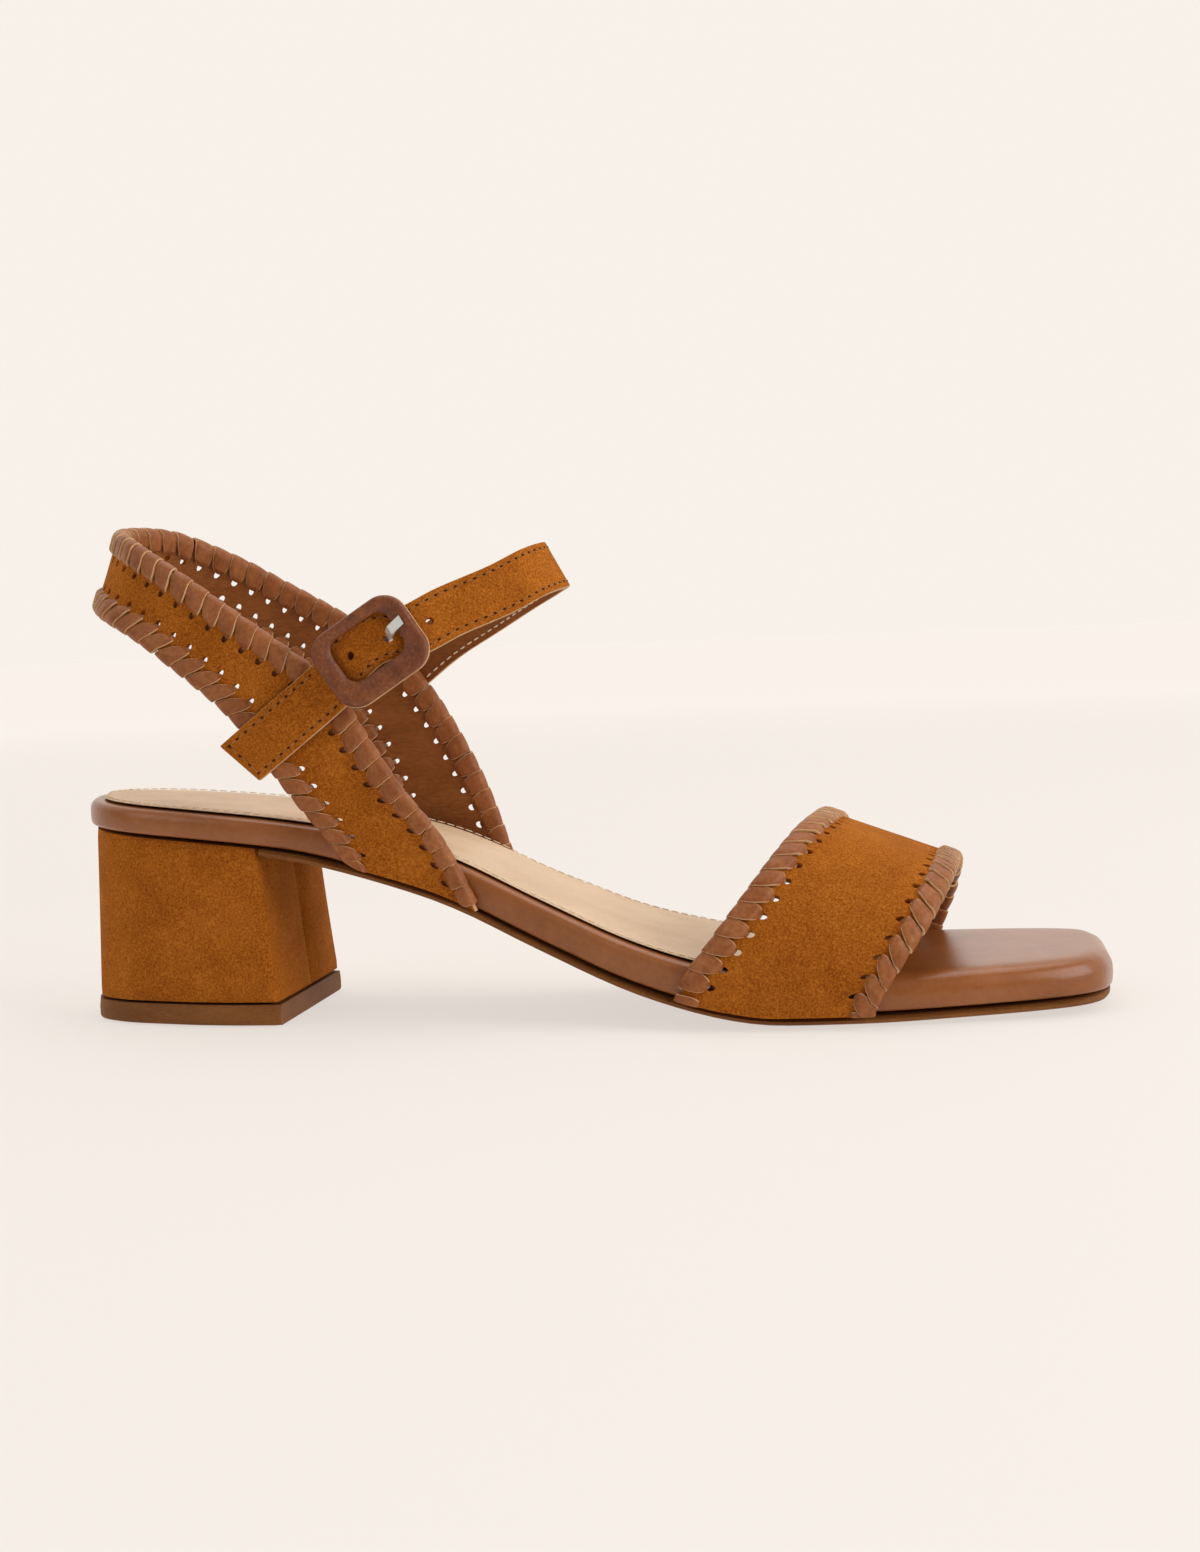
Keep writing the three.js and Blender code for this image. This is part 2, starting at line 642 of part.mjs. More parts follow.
// Boolean joins and cuts of closed geometries
function solid(geometry) {
  const bare = geometry.index ? geometry.clone() : geometry;
  bare.deleteAttribute("normal");
  bare.deleteAttribute("uv");
  const merged = mergeVertices(bare, 1e-4);
  return new wasm.Manifold(new wasm.Mesh({
    numProp: 3,
    vertProperties: new Float32Array(merged.attributes.position.array),
    triVerts: new Uint32Array(merged.index.array),
  }));
}

function fromSolid(body) {
  const mesh = body.getMesh();
  const geometry = new THREE.BufferGeometry();
  geometry.setAttribute("position", new THREE.BufferAttribute(mesh.vertProperties, 3));
  geometry.setIndex(new THREE.BufferAttribute(mesh.triVerts, 1));
  return geometry;
}

// The buckle's own frame: X along the strap to the toe, Y across it, Z out of the foot
const ankleBand = ankleStrapBand();
const buckleFrame = new THREE.Matrix4();
const buckleDistance = ankleBand.length - buckleFromTail;
function setBuckleFrame() {
  const across = 0.5 - buckleDrop / ankleStrapWidth;
  const centre = ankleBand.surface(buckleDistance, across);
  const towardsToe = ankleBand.surface(buckleDistance - buckleLength / 2, 0.5);
  towardsToe.sub(ankleBand.surface(buckleDistance + buckleLength / 2, 0.5));
  const alongStrap = vector(towardsToe.x, buckleTilt * Math.hypot(towardsToe.x, towardsToe.z), towardsToe.z);
  alongStrap.normalize();
  const out = vector(0, -1, 0).addScaledVector(alongStrap, alongStrap.y).normalize();
  const acrossStrap = out.clone().cross(alongStrap);
  buckleFrame.makeBasis(alongStrap, acrossStrap, out).setPosition(centre);
}
setBuckleFrame();

const frameBottom = ankleStrapWall / 2 + seam;
const pivotHeight = -(ankleStrapWall / 2 + seam + chapeWall + seam + pivotRadius);

function roundedRectangle(path, length, width, radius) {
  const x = length / 2;
  const y = width / 2;
  path.moveTo(-x + radius, -y);
  path.lineTo(x - radius, -y);
  path.absarc(x - radius, -y + radius, radius, -Math.PI / 2, 0, false);
  path.lineTo(x, y - radius);
  path.absarc(x - radius, y - radius, radius, 0, Math.PI / 2, false);
  path.lineTo(-x + radius, y);
  path.absarc(-x + radius, y - radius, radius, Math.PI / 2, Math.PI, false);
  path.lineTo(-x, -y + radius);
  path.absarc(-x + radius, -y + radius, radius, Math.PI, 1.5 * Math.PI, false);
  return path;
}

function buckleFrameGeometry() {
  const round = buckleDepth / 4;
  const outline = roundedRectangle(
    new THREE.Shape(),
    buckleLength - 2 * round,
    buckleWidth - 2 * round,
    buckleCorner - round,
  );
  const window = roundedRectangle(
    new THREE.Path(),
    buckleLength - 2 * buckleBar + 2 * round,
    buckleWidth - 2 * buckleBar + 2 * round,
    buckleCorner - buckleBar / 2 + round,
  );
  outline.holes.push(window);
  const ring = new THREE.ExtrudeGeometry(outline, {
    depth: buckleDepth - 2 * round,
    bevelEnabled: true,
    bevelThickness: round,
    bevelSize: round,
    bevelSegments: 2,
    curveSegments: 4,
  }).translate(0, 0, frameBottom + round);
  let body = solid(ring);
  const postAcross = ankleStrapWidth / 2 + seam + bucklePost / 2;
  const postTop = frameBottom + buckleDepth / 2;
  const height = postTop - pivotHeight + bucklePost / 2;
  for (const side of [-1, 1]) {
    const post = new THREE.BoxGeometry(bucklePost, bucklePost, height);
    post.translate(0, buckleDrop + side * postAcross, postTop - height / 2);
    body = body.add(solid(post));
  }
  const pivot = new THREE.CylinderGeometry(pivotRadius, pivotRadius, 2 * postAcross, 10);
  body = body.add(solid(pivot.translate(0, buckleDrop, pivotHeight)));
  return fromSolid(body).applyMatrix4(buckleFrame);
}

// A flat strip bent in the plane of the strap's length and depth, extruded across the strap
function bentStrip(outline, width) {
  const geometry = new THREE.ExtrudeGeometry(outline, { depth: width, bevelEnabled: false, curveSegments: 8 });
  geometry.translate(0, 0, -width / 2);
  geometry.rotateX(Math.PI / 2);
  return geometry;
}

// Prong: an eye on the pivot, a shank under the strap, and a tip that rests on the frame's front bar
function prongGeometry() {
  const eyeHole = pivotRadius + seam;
  const eye = eyeHole + prongThickness / 2;
  const under = pivotHeight + eyeHole;
  const restHeight = frameBottom + buckleDepth + seam;
  const rise = restHeight - under;
  const foot = prongHole - (prongLean / 2) * rise;
  const head = prongHole + (prongLean / 2) * rise;
  const slant = (prongThickness / 2) * Math.hypot(prongLean, 1);
  const outline = new THREE.Shape();
  outline.moveTo(0, pivotHeight - eye);
  outline.absarc(0, pivotHeight, eye, -Math.PI / 2, Math.PI / 2, true);
  outline.lineTo(foot - slant, pivotHeight + eye);
  outline.lineTo(head - slant, restHeight + prongThickness);
  outline.lineTo(prongReach, restHeight + prongThickness);
  outline.lineTo(prongReach, restHeight);
  outline.lineTo(head + slant, restHeight);
  outline.lineTo(foot + slant, under - prongThickness / 2);
  outline.lineTo(eye, pivotHeight - prongThickness / 4);
  const hole = new THREE.Path();
  hole.absarc(0, pivotHeight, eyeHole, 0, 2 * Math.PI, false);
  outline.holes.push(hole);
  const prong = bentStrip(outline, prongWidth);
  const position = prong.attributes.position;
  for (let i = 0; i < position.count; i += 1) {
    const skewed = prongSkew * Math.max(position.getX(i) - eye, 0);
    position.setY(i, position.getY(i) + prongAside + skewed);
  }
  return prong.applyMatrix4(buckleFrame);
}

// Chape: a leather loop round the pivot whose tail meets the peak of the quarter strap
function chapeGeometry() {
  const eyeHole = pivotRadius + seam;
  const eye = eyeHole + chapeWall;
  const outline = new THREE.Shape();
  outline.moveTo(0, pivotHeight + eye);
  outline.absarc(0, pivotHeight, eye, Math.PI / 2, -Math.PI / 2, true);
  outline.lineTo(-chapeReach, pivotHeight - chapeWall);
  outline.lineTo(-chapeReach, pivotHeight + chapeWall);
  outline.lineTo(-eye, pivotHeight + chapeWall);
  const hole = new THREE.Path();
  hole.absarc(0, pivotHeight, eyeHole, 0, 2 * Math.PI, false);
  outline.holes.push(hole);
  const slotLength = 2 * eye + seam;
  const slot = new THREE.BoxGeometry(slotLength, prongWidth + 2 * seam, 4 * eye);
  slot.translate(0, prongAside, pivotHeight);
  const loop = solid(bentStrip(outline, chapeWidth)).subtract(solid(slot));
  return fromSolid(loop).applyMatrix4(buckleFrame);
}

// Ankle strap with its punched holes: a slot for the prong and a round hole on each side of it
function ankleStrapGeometry() {
  const ringCount = 44;
  let body = solid(plainStrapGeometry(ankleBand, ringCount));
  const punch = (along, length, width) => {
    const cutter = new THREE.CylinderGeometry(0.5, 0.5, 6 * ankleStrapWall, 10);
    const middle = ankleBand.surface(buckleDistance - along, 0.5);
    cutter.rotateX(Math.PI / 2).scale(length, width, 1);
    cutter.applyMatrix4(buckleFrame.clone().setPosition(middle));
    body = body.subtract(solid(cutter));
  };
  punch(prongHole, prongSlotLength, prongSlotWidth);
  for (const along of [prongHole - holePitch, prongHole + holePitch]) {
    punch(along, 2 * holeRadius, 2 * holeRadius);
  }
  return fromSolid(body);
}

const sandal = new THREE.Group();

function addPiece(name, geometry, finish) {
  const mesh = new THREE.Mesh(geometry, new THREE.MeshStandardMaterial(finish));
  mesh.name = name;
  sandal.add(mesh);
}

addPiece("outsole", outsoleGeometry(), soleLeather);
addPiece("heel_block", heelBlockGeometry(), suede);
addPiece("heel_top_piece", topPieceGeometry(), soleLeather);
addPiece("footbed", footbedGeometry(), wrapLeather);
addPiece("insole_sock", sockGeometry(), sockLeather);
addPiece("toe_strap", lacedStrapGeometry(toeStrapBand(), -laceLean, 3), suede);
addPiece("quarter_strap", lacedStrapGeometry(quarterBand(), laceLean, 1), suede);
addPiece("ankle_strap", ankleStrapGeometry(), suede);
addPiece("buckle_frame", buckleFrameGeometry(), buckleLeather);
addPiece("buckle_prong", prongGeometry(), nickel);
addPiece("buckle_chape", chapeGeometry(), suede);

export default sandal;
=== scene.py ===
"""A woman's block heel sandal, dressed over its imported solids.

Sizes are in millimetres and meshes in metres. +X runs to the toe, +Y to the inner (medial) side and
+Z up, and the origin is on the floor at the centre of the heel's tread.
"""

import logging
import math
from dataclasses import dataclass, field
from enum import Enum
from typing import Callable, NamedTuple, Sequence

import bpy
import numpy as np
from mathutils import Matrix, Vector


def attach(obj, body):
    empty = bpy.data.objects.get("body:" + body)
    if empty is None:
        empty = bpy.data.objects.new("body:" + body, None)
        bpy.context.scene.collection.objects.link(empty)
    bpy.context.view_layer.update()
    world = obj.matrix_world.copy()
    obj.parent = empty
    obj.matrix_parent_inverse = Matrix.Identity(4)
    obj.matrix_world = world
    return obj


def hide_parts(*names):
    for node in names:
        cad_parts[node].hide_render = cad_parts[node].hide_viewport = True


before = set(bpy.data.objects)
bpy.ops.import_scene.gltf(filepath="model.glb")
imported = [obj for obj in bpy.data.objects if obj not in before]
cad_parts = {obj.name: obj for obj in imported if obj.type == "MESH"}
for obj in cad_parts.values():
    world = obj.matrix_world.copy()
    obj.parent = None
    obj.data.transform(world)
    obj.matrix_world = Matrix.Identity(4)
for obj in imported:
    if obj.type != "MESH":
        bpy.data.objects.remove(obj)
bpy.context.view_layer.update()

MM = 0.001
TINY = 1e-6
SEED = 11
# Corners of a CAD node nearer than this, in metres, become one
DOUBLES = 2e-6
# Triangles of a CAD node join into quads up to these angles, in degrees
QUAD_FOLD = 30
QUAD_SKEW = 60
# Weight of the edges that stay hard when a node is subdivided
HARD_CREASE = 0.9
# Shading of a node with hard edges, and of one without, in degrees
HARD_SHADING = 60
SOFT_SHADING = 180
# Sides of the punch for a small hole, and its depth in thicknesses of the strap
PUNCH_SIDES = 10
PUNCH_DEPTH = 4
# Roundness of a stitch: 1 is an ellipsoid, and less is boxier
STITCH_ROUNDNESS = 0.8
log = logging.getLogger("sandal")

Colour = tuple[float, float, float]
Shaper = Callable[[np.ndarray], np.ndarray]
Outline = Callable[[float], Vector]


class Edge(Enum):
    """The two edges of a strap."""

    REAR = 0
    FRONT = 1


class Side(Enum):
    """The two sides of the foot, with the sign of Y."""

    LATERAL = -1
    MEDIAL = 1


EdgeCurve = Callable[[float, Edge], np.ndarray]


class PlanRow(NamedTuple):
    """Half widths of the sole, as shares of the ball width."""

    along: float
    lateral: float
    medial: float


class ProfileRow(NamedTuple):
    """Rise of the footbed's top, and its depth, as shares."""

    along: float
    rise: float
    depth: float


class SweepRow(NamedTuple):
    """Sweep of the toe strap's edges, as shares of the footbed's length."""

    turn: float
    rear: float
    front: float


class LeanRow(NamedTuple):
    """How far a lace turn's edge end lies ahead of its hole, in mm."""

    turn: float
    rear: float
    front: float


class Hole(NamedTuple):
    """A hole in a strap's flat pattern, in mm."""

    distance: float
    across: float
    half_length: float
    half_width: float


class Spot(NamedTuple):
    """Place of a stitch on a flat pattern, in mm, and its angle in radians."""

    along: float
    across: float
    angle: float = 0


class Stitch(NamedTuple):
    """Size of a stitch, in mm."""

    length: float
    width: float
    height: float


class Lamp(NamedTuple):
    """A square soft light: its place and size in metres, and its power in watts."""

    name: str
    place: tuple[float, float, float]
    size: float
    power: float


PLAN = [
    PlanRow(0, 0, 0), PlanRow(0.008, 0.119, 0.119), PlanRow(0.02, 0.194, 0.194),
    PlanRow(0.04, 0.263, 0.263), PlanRow(0.08, 0.325, 0.325), PlanRow(0.16, 0.354, 0.354),
    PlanRow(0.24, 0.35, 0.338), PlanRow(0.32, 0.338, 0.302), PlanRow(0.4, 0.338, 0.278),
    PlanRow(0.445, 0.353, 0.286), PlanRow(0.5, 0.388, 0.318), PlanRow(0.545, 0.425, 0.366),
    PlanRow(0.6, 0.463, 0.43), PlanRow(0.645, 0.484, 0.48), PlanRow(0.695, 0.488, 0.512),
    PlanRow(0.755, 0.475, 0.52), PlanRow(0.84, 0.431, 0.506), PlanRow(0.895, 0.391, 0.479),
    PlanRow(0.94, 0.35, 0.44), PlanRow(0.972, 0.3, 0.392), PlanRow(0.992, 0.22, 0.305),
    PlanRow(1, 0.1, 0.19),
]
PROFILE = [
    ProfileRow(0, 1, 0.75), ProfileRow(0.04, 0.973, 0.75), ProfileRow(0.08, 0.951, 0.75),
    ProfileRow(0.16, 0.904, 0.75), ProfileRow(0.24, 0.843, 0.76), ProfileRow(0.32, 0.751, 0.96),
    ProfileRow(0.36, 0.686, 1), ProfileRow(0.4, 0.59, 1), ProfileRow(0.445, 0.455, 1),
    ProfileRow(0.5, 0.312, 1), ProfileRow(0.545, 0.197, 1), ProfileRow(0.6, 0.096, 1),
    ProfileRow(0.645, 0.034, 1), ProfileRow(0.69, 0, 1), ProfileRow(0.785, 0, 1),
    ProfileRow(0.845, 0.009, 1), ProfileRow(0.9, 0.018, 1), ProfileRow(1, 0.038, 1),
]
TOE_SWEEP = [
    SweepRow(0, 0.6, 0.781), SweepRow(0.08, 0.636, 0.806), SweepRow(0.2, 0.673, 0.833),
    SweepRow(0.35, 0.704, 0.851), SweepRow(0.5, 0.723, 0.86), SweepRow(0.65, 0.731, 0.864),
    SweepRow(0.8, 0.719, 0.859), SweepRow(0.92, 0.689, 0.846), SweepRow(1, 0.661, 0.833),
]
# Edges of the quarter strap: X as shares of the footbed's length, Y of the ankle's width, Z of its height
QUARTER_REAR = [
    (0.268, -0.488, 0.377), (0.244, -0.493, 0.439), (0.221, -0.497, 0.504), (0.199, -0.497, 0.57),
    (0.176, -0.492, 0.623), (0.134, -0.48, 0.697), (0.088, -0.433, 0.766), (0.046, -0.308, 0.81),
    (0.022, -0.017, 0.832), (0.048, 0.292, 0.836), (0.09, 0.433, 0.807), (0.135, 0.48, 0.75),
    (0.179, 0.488, 0.689), (0.213, 0.483, 0.627), (0.239, 0.475, 0.557), (0.261, 0.458, 0.471),
    (0.279, 0.453, 0.389),
]
QUARTER_FRONT = [
    (0.384, -0.486, 0.361), (0.347, -0.493, 0.463), (0.316, -0.497, 0.566), (0.286, -0.497, 0.668),
    (0.248, -0.492, 0.732), (0.185, -0.477, 0.826), (0.134, -0.433, 0.9), (0.084, -0.3, 0.96),
    (0.047, -0.017, 0.995), (0.074, 0.3, 0.993), (0.128, 0.442, 0.939), (0.177, 0.483, 0.88),
    (0.231, 0.492, 0.815), (0.285, 0.483, 0.742), (0.325, 0.475, 0.648), (0.356, 0.462, 0.545),
    (0.383, 0.443, 0.434),
]
# Middle line of the ankle strap in the same shares, and the share of its width that leans back
ANKLE_LINE = [
    (0.294, 0.535, 0.676, 0.6), (0.341, 0.513, 0.748, 0.53), (0.39, 0.425, 0.802, 0.5),
    (0.432, 0.293, 0.845, 0.5), (0.464, 0.16, 0.874, 0.49), (0.479, 0, 0.884, 0.47),
    (0.466, -0.19, 0.869, 0.49), (0.44, -0.337, 0.836, 0.48), (0.396, -0.447, 0.797, 0.5),
    (0.362, -0.52, 0.761, 0.52), (0.325, -0.552, 0.742, 0.56), (0.285, -0.555, 0.663, 0.61),
    (0.241, -0.552, 0.592, 0.62), (0.196, -0.55, 0.521, 0.74),
]


def smoothstep(x: np.ndarray | float, low: float, high: float) -> np.ndarray | float:
    """Smooth rise from 0 at low to 1 at high."""
    t = np.clip((x - low) / (high - low), 0, 1)
    return t * t * (3 - 2 * t)


def column_at(rows: Sequence[NamedTuple], column: str, place: float) -> float:
    """Reads one column of a table by a cubic that never overshoots its rows.

    Args:
        rows: The table, whose first column is the place.
        column: The name of the column to read.
        place: Where to read it.

    Returns:
        The value there.
    """
    xs = [row[0] for row in rows]
    ys = [getattr(row, column) for row in rows]
    at = min(max(place, xs[0]), xs[-1])
    i = 0
    while i < len(xs) - 2 and at > xs[i + 1]:
        i += 1
    slopes = [(ys[k + 1] - ys[k]) / (xs[k + 1] - xs[k]) for k in range(len(xs) - 1)]

    def tangent(k: int) -> float:
        """Slope of the curve at a row.

        Args:
            k: The row's number.

        Returns:
            The slope.
        """
        if k in (0, len(xs) - 1):
            return slopes[min(k, len(slopes) - 1)]
        before, after = slopes[k - 1], slopes[k]
        return 0 if before * after <= 0 else 2 * before * after / (before + after)

    span = xs[i + 1] - xs[i]
    t = (at - xs[i]) / span
    value = ys[i] + (ys[i + 1] - ys[i]) * t * t * (3 - 2 * t)
    return value + span * (t * (1 - t) ** 2 * tangent(i) + t * t * (t - 1) * tangent(i + 1))


def centripetal(points: np.ndarray, t: float) -> np.ndarray:
    """Point of a centripetal Catmull-Rom curve.

    Args:
        points: The points that the curve runs through.
        t: The share of the way, by points.

    Returns:
        The point there.
    """
    last = len(points) - 1
    i = min(int(t * last), last - 1)
    w = t * last - i
    b, c = points[i], points[i + 1]
    a = points[i - 1] if i > 0 else 2 * b - c
    d = points[i + 2] if i + 2 <= last else 2 * c - b
    d0, d1, d2 = (math.sqrt(np.linalg.norm(q - p)) for p, q in ((a, b), (b, c), (c, d)))
    start = d1 * ((b - a) / d0 - (c - a) / (d0 + d1) + (c - b) / d1)
    end = d1 * ((c - b) / d1 - (d - b) / (d1 + d2) + (d - c) / d2)
    return b + w * (start + w * (3 * (c - b) - 2 * start - end + w * (2 * (b - c) + start + end)))


def lengths_along(points: np.ndarray) -> np.ndarray:
    """Measures a line from its first point to each of its points.

    Args:
        points: The line's points, as rows.

    Returns:
        The lengths, from 0.
    """
    return np.concatenate([[0], np.cumsum(np.linalg.norm(np.diff(points, axis=0), axis=1))])


@dataclass(frozen=True)
class Last:
    """Sizes of the sole and the foot that the straps go round, in mm."""

    footbed_length: float = 251
    ball_width: float = 80
    heel_height: float = 55.2
    footbed_thickness: float = 9
    outsole_thickness: float = 2.3
    seam: float = 0.3
    tread_length: float = 54.4
    ankle_height: float = 122
    ankle_width: float = 60
    strap_wall: float = 2
    strap_ease: float = 0.3
    sock_thickness: float = 1
    sock_inset: float = 3.6
    sock_end: float = 0.7
    top_piece: float = 5.4

    @property
    def ball_top(self) -> float:
        """Height of the footbed's top at the ball."""
        return self.outsole_thickness + self.seam + self.footbed_thickness

    def x_at(self, along: float) -> float:
        """X of a share of the footbed's length."""
        return along * self.footbed_length - self.tread_length / 2

    def along(self, x: float | np.ndarray) -> float | np.ndarray:
        """Share of the footbed's length at an X."""
        return (x + self.tread_length / 2) / self.footbed_length

    def half_width(self, x: float, side: Side) -> float:
        """Half width of the sole at an X, on one side."""
        return self.ball_width * column_at(PLAN, side.name.lower(), self.along(x))

    def top(self, x: float) -> float:
        """Height of the footbed's top."""
        return self.ball_top + (self.heel_height - self.ball_top) * column_at(PROFILE, "rise", self.along(x))

    def outsole_top(self, x: float) -> float:
        """Height of the outsole's top."""
        return self.top(x) - self.footbed_thickness * column_at(PROFILE, "depth", self.along(x)) - self.seam

    def rim(self, x: float, side: Side, inset: float) -> tuple[float, float]:
        """Point of the sole's outline moved inwards by an inset.

        Args:
            x: Where on the outline.
            side: The side of the foot.
            inset: How far inwards, square to the outline.

        Returns:
            X and Y of the point.
        """
        step = 0.02
        rise = (self.half_width(x + step, side) - self.half_width(x - step, side)) / (2 * step)
        length = math.hypot(rise, 1)
        return x + inset * rise / length, side.value * (self.half_width(x, side) - inset / length)

    def strap_foot(self, side: Side, along: float) -> np.ndarray:
        """Place on the rim where a strap is caught between the footbed and the outsole.

        Args:
            side: The side of the foot.
            along: The share of the footbed's length.

        Returns:
            The place on the strap's middle surface.
        """
        x = self.x_at(along)
        out = self.half_width(x, side) + self.seam + self.strap_wall / 2 + self.strap_ease
        return np.array([x, side.value * out, self.outsole_top(x) + self.seam + self.strap_ease])

    def round_ankle(self, shares: np.ndarray) -> np.ndarray:
        """Puts points round the ankle.

        Args:
            shares: Rows of X, Y and Z as shares of the footbed's length, the ankle's width and its height.

        Returns:
            The points, in mm.
        """
        size = np.array([self.footbed_length, self.ankle_width, self.ankle_height])
        return shares * size + np.array([self.x_at(0), 0, 0])


LAST = Last()


def select_only(*pieces: bpy.types.Object) -> None:
    """Makes these pieces the whole selection, with the first one active.

    Args:
        pieces: The pieces to select.
    """
    if bpy.context.object and bpy.context.object.mode != "OBJECT":
        bpy.ops.object.mode_set(mode="OBJECT")
    bpy.ops.object.select_all(action="DESELECT")
    for piece in pieces:
        piece.select_set(True)
    bpy.context.view_layer.objects.active = pieces[0]


def points_of(piece: bpy.types.Object) -> np.ndarray:
    """Vertices of a piece as an array of rows.

    Args:
        piece: The piece to read.

    Returns:
        Its vertices.
    """
    flat = np.zeros(3 * len(piece.data.vertices))
    piece.data.vertices.foreach_get("co", flat)
    return flat.reshape(-1, 3)


def shape(piece: bpy.types.Object, shaper: Shaper) -> bpy.types.Object:
    """Moves every vertex of a piece to where a shaper puts it.

    Args:
        piece: The piece to shape.
        shaper: Takes the vertices as rows and returns them moved.

    Returns:
        The same piece.
    """
    piece.data.vertices.foreach_set("co", shaper(points_of(piece)).ravel())
    piece.data.update()
    return piece


def apply_modifier(piece: bpy.types.Object, kind: str, **settings: object) -> bpy.types.Object:
    """Adds a modifier to a piece and applies it.

    Args:
        piece: The piece to change.
        kind: Blender's name of the modifier's type.
        settings: The modifier's values.

    Returns:
        The same piece.
    """
    select_only(piece)
    modifier = piece.modifiers.new(kind.title(), kind)
    for name, value in settings.items():
        setattr(modifier, name, value)
    bpy.ops.object.modifier_apply(modifier=modifier.name)
    return piece


def add_sheet(name: str, columns: int, rows: int) -> bpy.types.Object:
    """Adds a flat sheet from 0 to 1 both ways.

    Args:
        name: The sheet's name.
        columns: How many cells it has along X.
        rows: How many it has along Y.

    Returns:
        The sheet.
    """
    bpy.ops.object.select_all(action="DESELECT")
    bpy.ops.mesh.primitive_grid_add(x_subdivisions=columns, y_subdivisions=rows, size=1)
    sheet = bpy.context.object
    sheet.name = name
    return shape(sheet, lambda p: p + np.array([0.5, 0.5, 0]))


def copy_of(piece: bpy.types.Object, name: str) -> bpy.types.Object:
    """Copies a piece, with its own mesh and no ties.

    Args:
        piece: The piece to copy.
        name: The copy's name.

    Returns:
        The copy.
    """
    copy = bpy.data.objects.new(name, piece.data.copy())
    bpy.context.scene.collection.objects.link(copy)
    return copy


def join(name: str, pieces: list[bpy.types.Object]) -> bpy.types.Object:
    """Joins pieces into the first one and names it.

    Args:
        name: The joined piece's name.
        pieces: The pieces to join.

    Returns:
        The joined piece.
    """
    select_only(*pieces)
    bpy.ops.object.join()
    joined = bpy.context.object
    joined.name = name
    return joined


def close_up(piece: bpy.types.Object, distance: float = TINY) -> bpy.types.Object:
    """Merges the doubles of a piece and turns its faces outwards.

    Args:
        piece: The piece to close.
        distance: How near doubles are, in metres.

    Returns:
        The same piece.
    """
    select_only(piece)
    bpy.ops.object.mode_set(mode="EDIT")
    bpy.ops.mesh.select_all(action="SELECT")
    bpy.ops.mesh.remove_doubles(threshold=distance)
    bpy.ops.mesh.normals_make_consistent(inside=False)
    bpy.ops.object.mode_set(mode="OBJECT")
    return piece


def smooth(piece: bpy.types.Object, angle: float = 40) -> bpy.types.Object:
    """Shades a piece smooth, apart from its sharp edges.

    Args:
        piece: The piece to shade.
        angle: Sharper edges stay sharp, in degrees.

    Returns:
        The same piece.
    """
    select_only(piece)
    bpy.ops.object.shade_smooth_by_angle(angle=math.radians(angle))
    return piece


def softened_node(node: str, name: str, levels: int, hard_angle: float = 0) -> bpy.types.Object:
    """Copies a CAD node and rounds its facets by subdivision.

    Args:
        node: The node to copy.
        name: The new piece's name.
        levels: How many times it is subdivided.
        hard_angle: Edges sharper than this stay hard, in degrees. With 0, none does.

    Returns:
        The new piece.
    """
    piece = copy_of(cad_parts[node], name)
    piece.data.materials.clear()
    select_only(piece)
    bpy.ops.mesh.customdata_custom_splitnormals_clear()
    close_up(piece, DOUBLES)
    bpy.ops.object.mode_set(mode="EDIT")
    bpy.ops.mesh.select_all(action="SELECT")
    bpy.ops.mesh.tris_convert_to_quads(
        face_threshold=math.radians(QUAD_FOLD), shape_threshold=math.radians(QUAD_SKEW)
    )
    bpy.ops.mesh.select_all(action="DESELECT")
    if hard_angle:
        bpy.ops.mesh.select_mode(type="EDGE")
        bpy.ops.mesh.edges_select_sharp(sharpness=math.radians(hard_angle))
        bpy.ops.transform.edge_crease(value=HARD_CREASE)
    bpy.ops.object.mode_set(mode="OBJECT")
    apply_modifier(piece, "SUBSURF", levels=levels, render_levels=levels)
    return smooth(piece, HARD_SHADING if hard_angle else SOFT_SHADING)


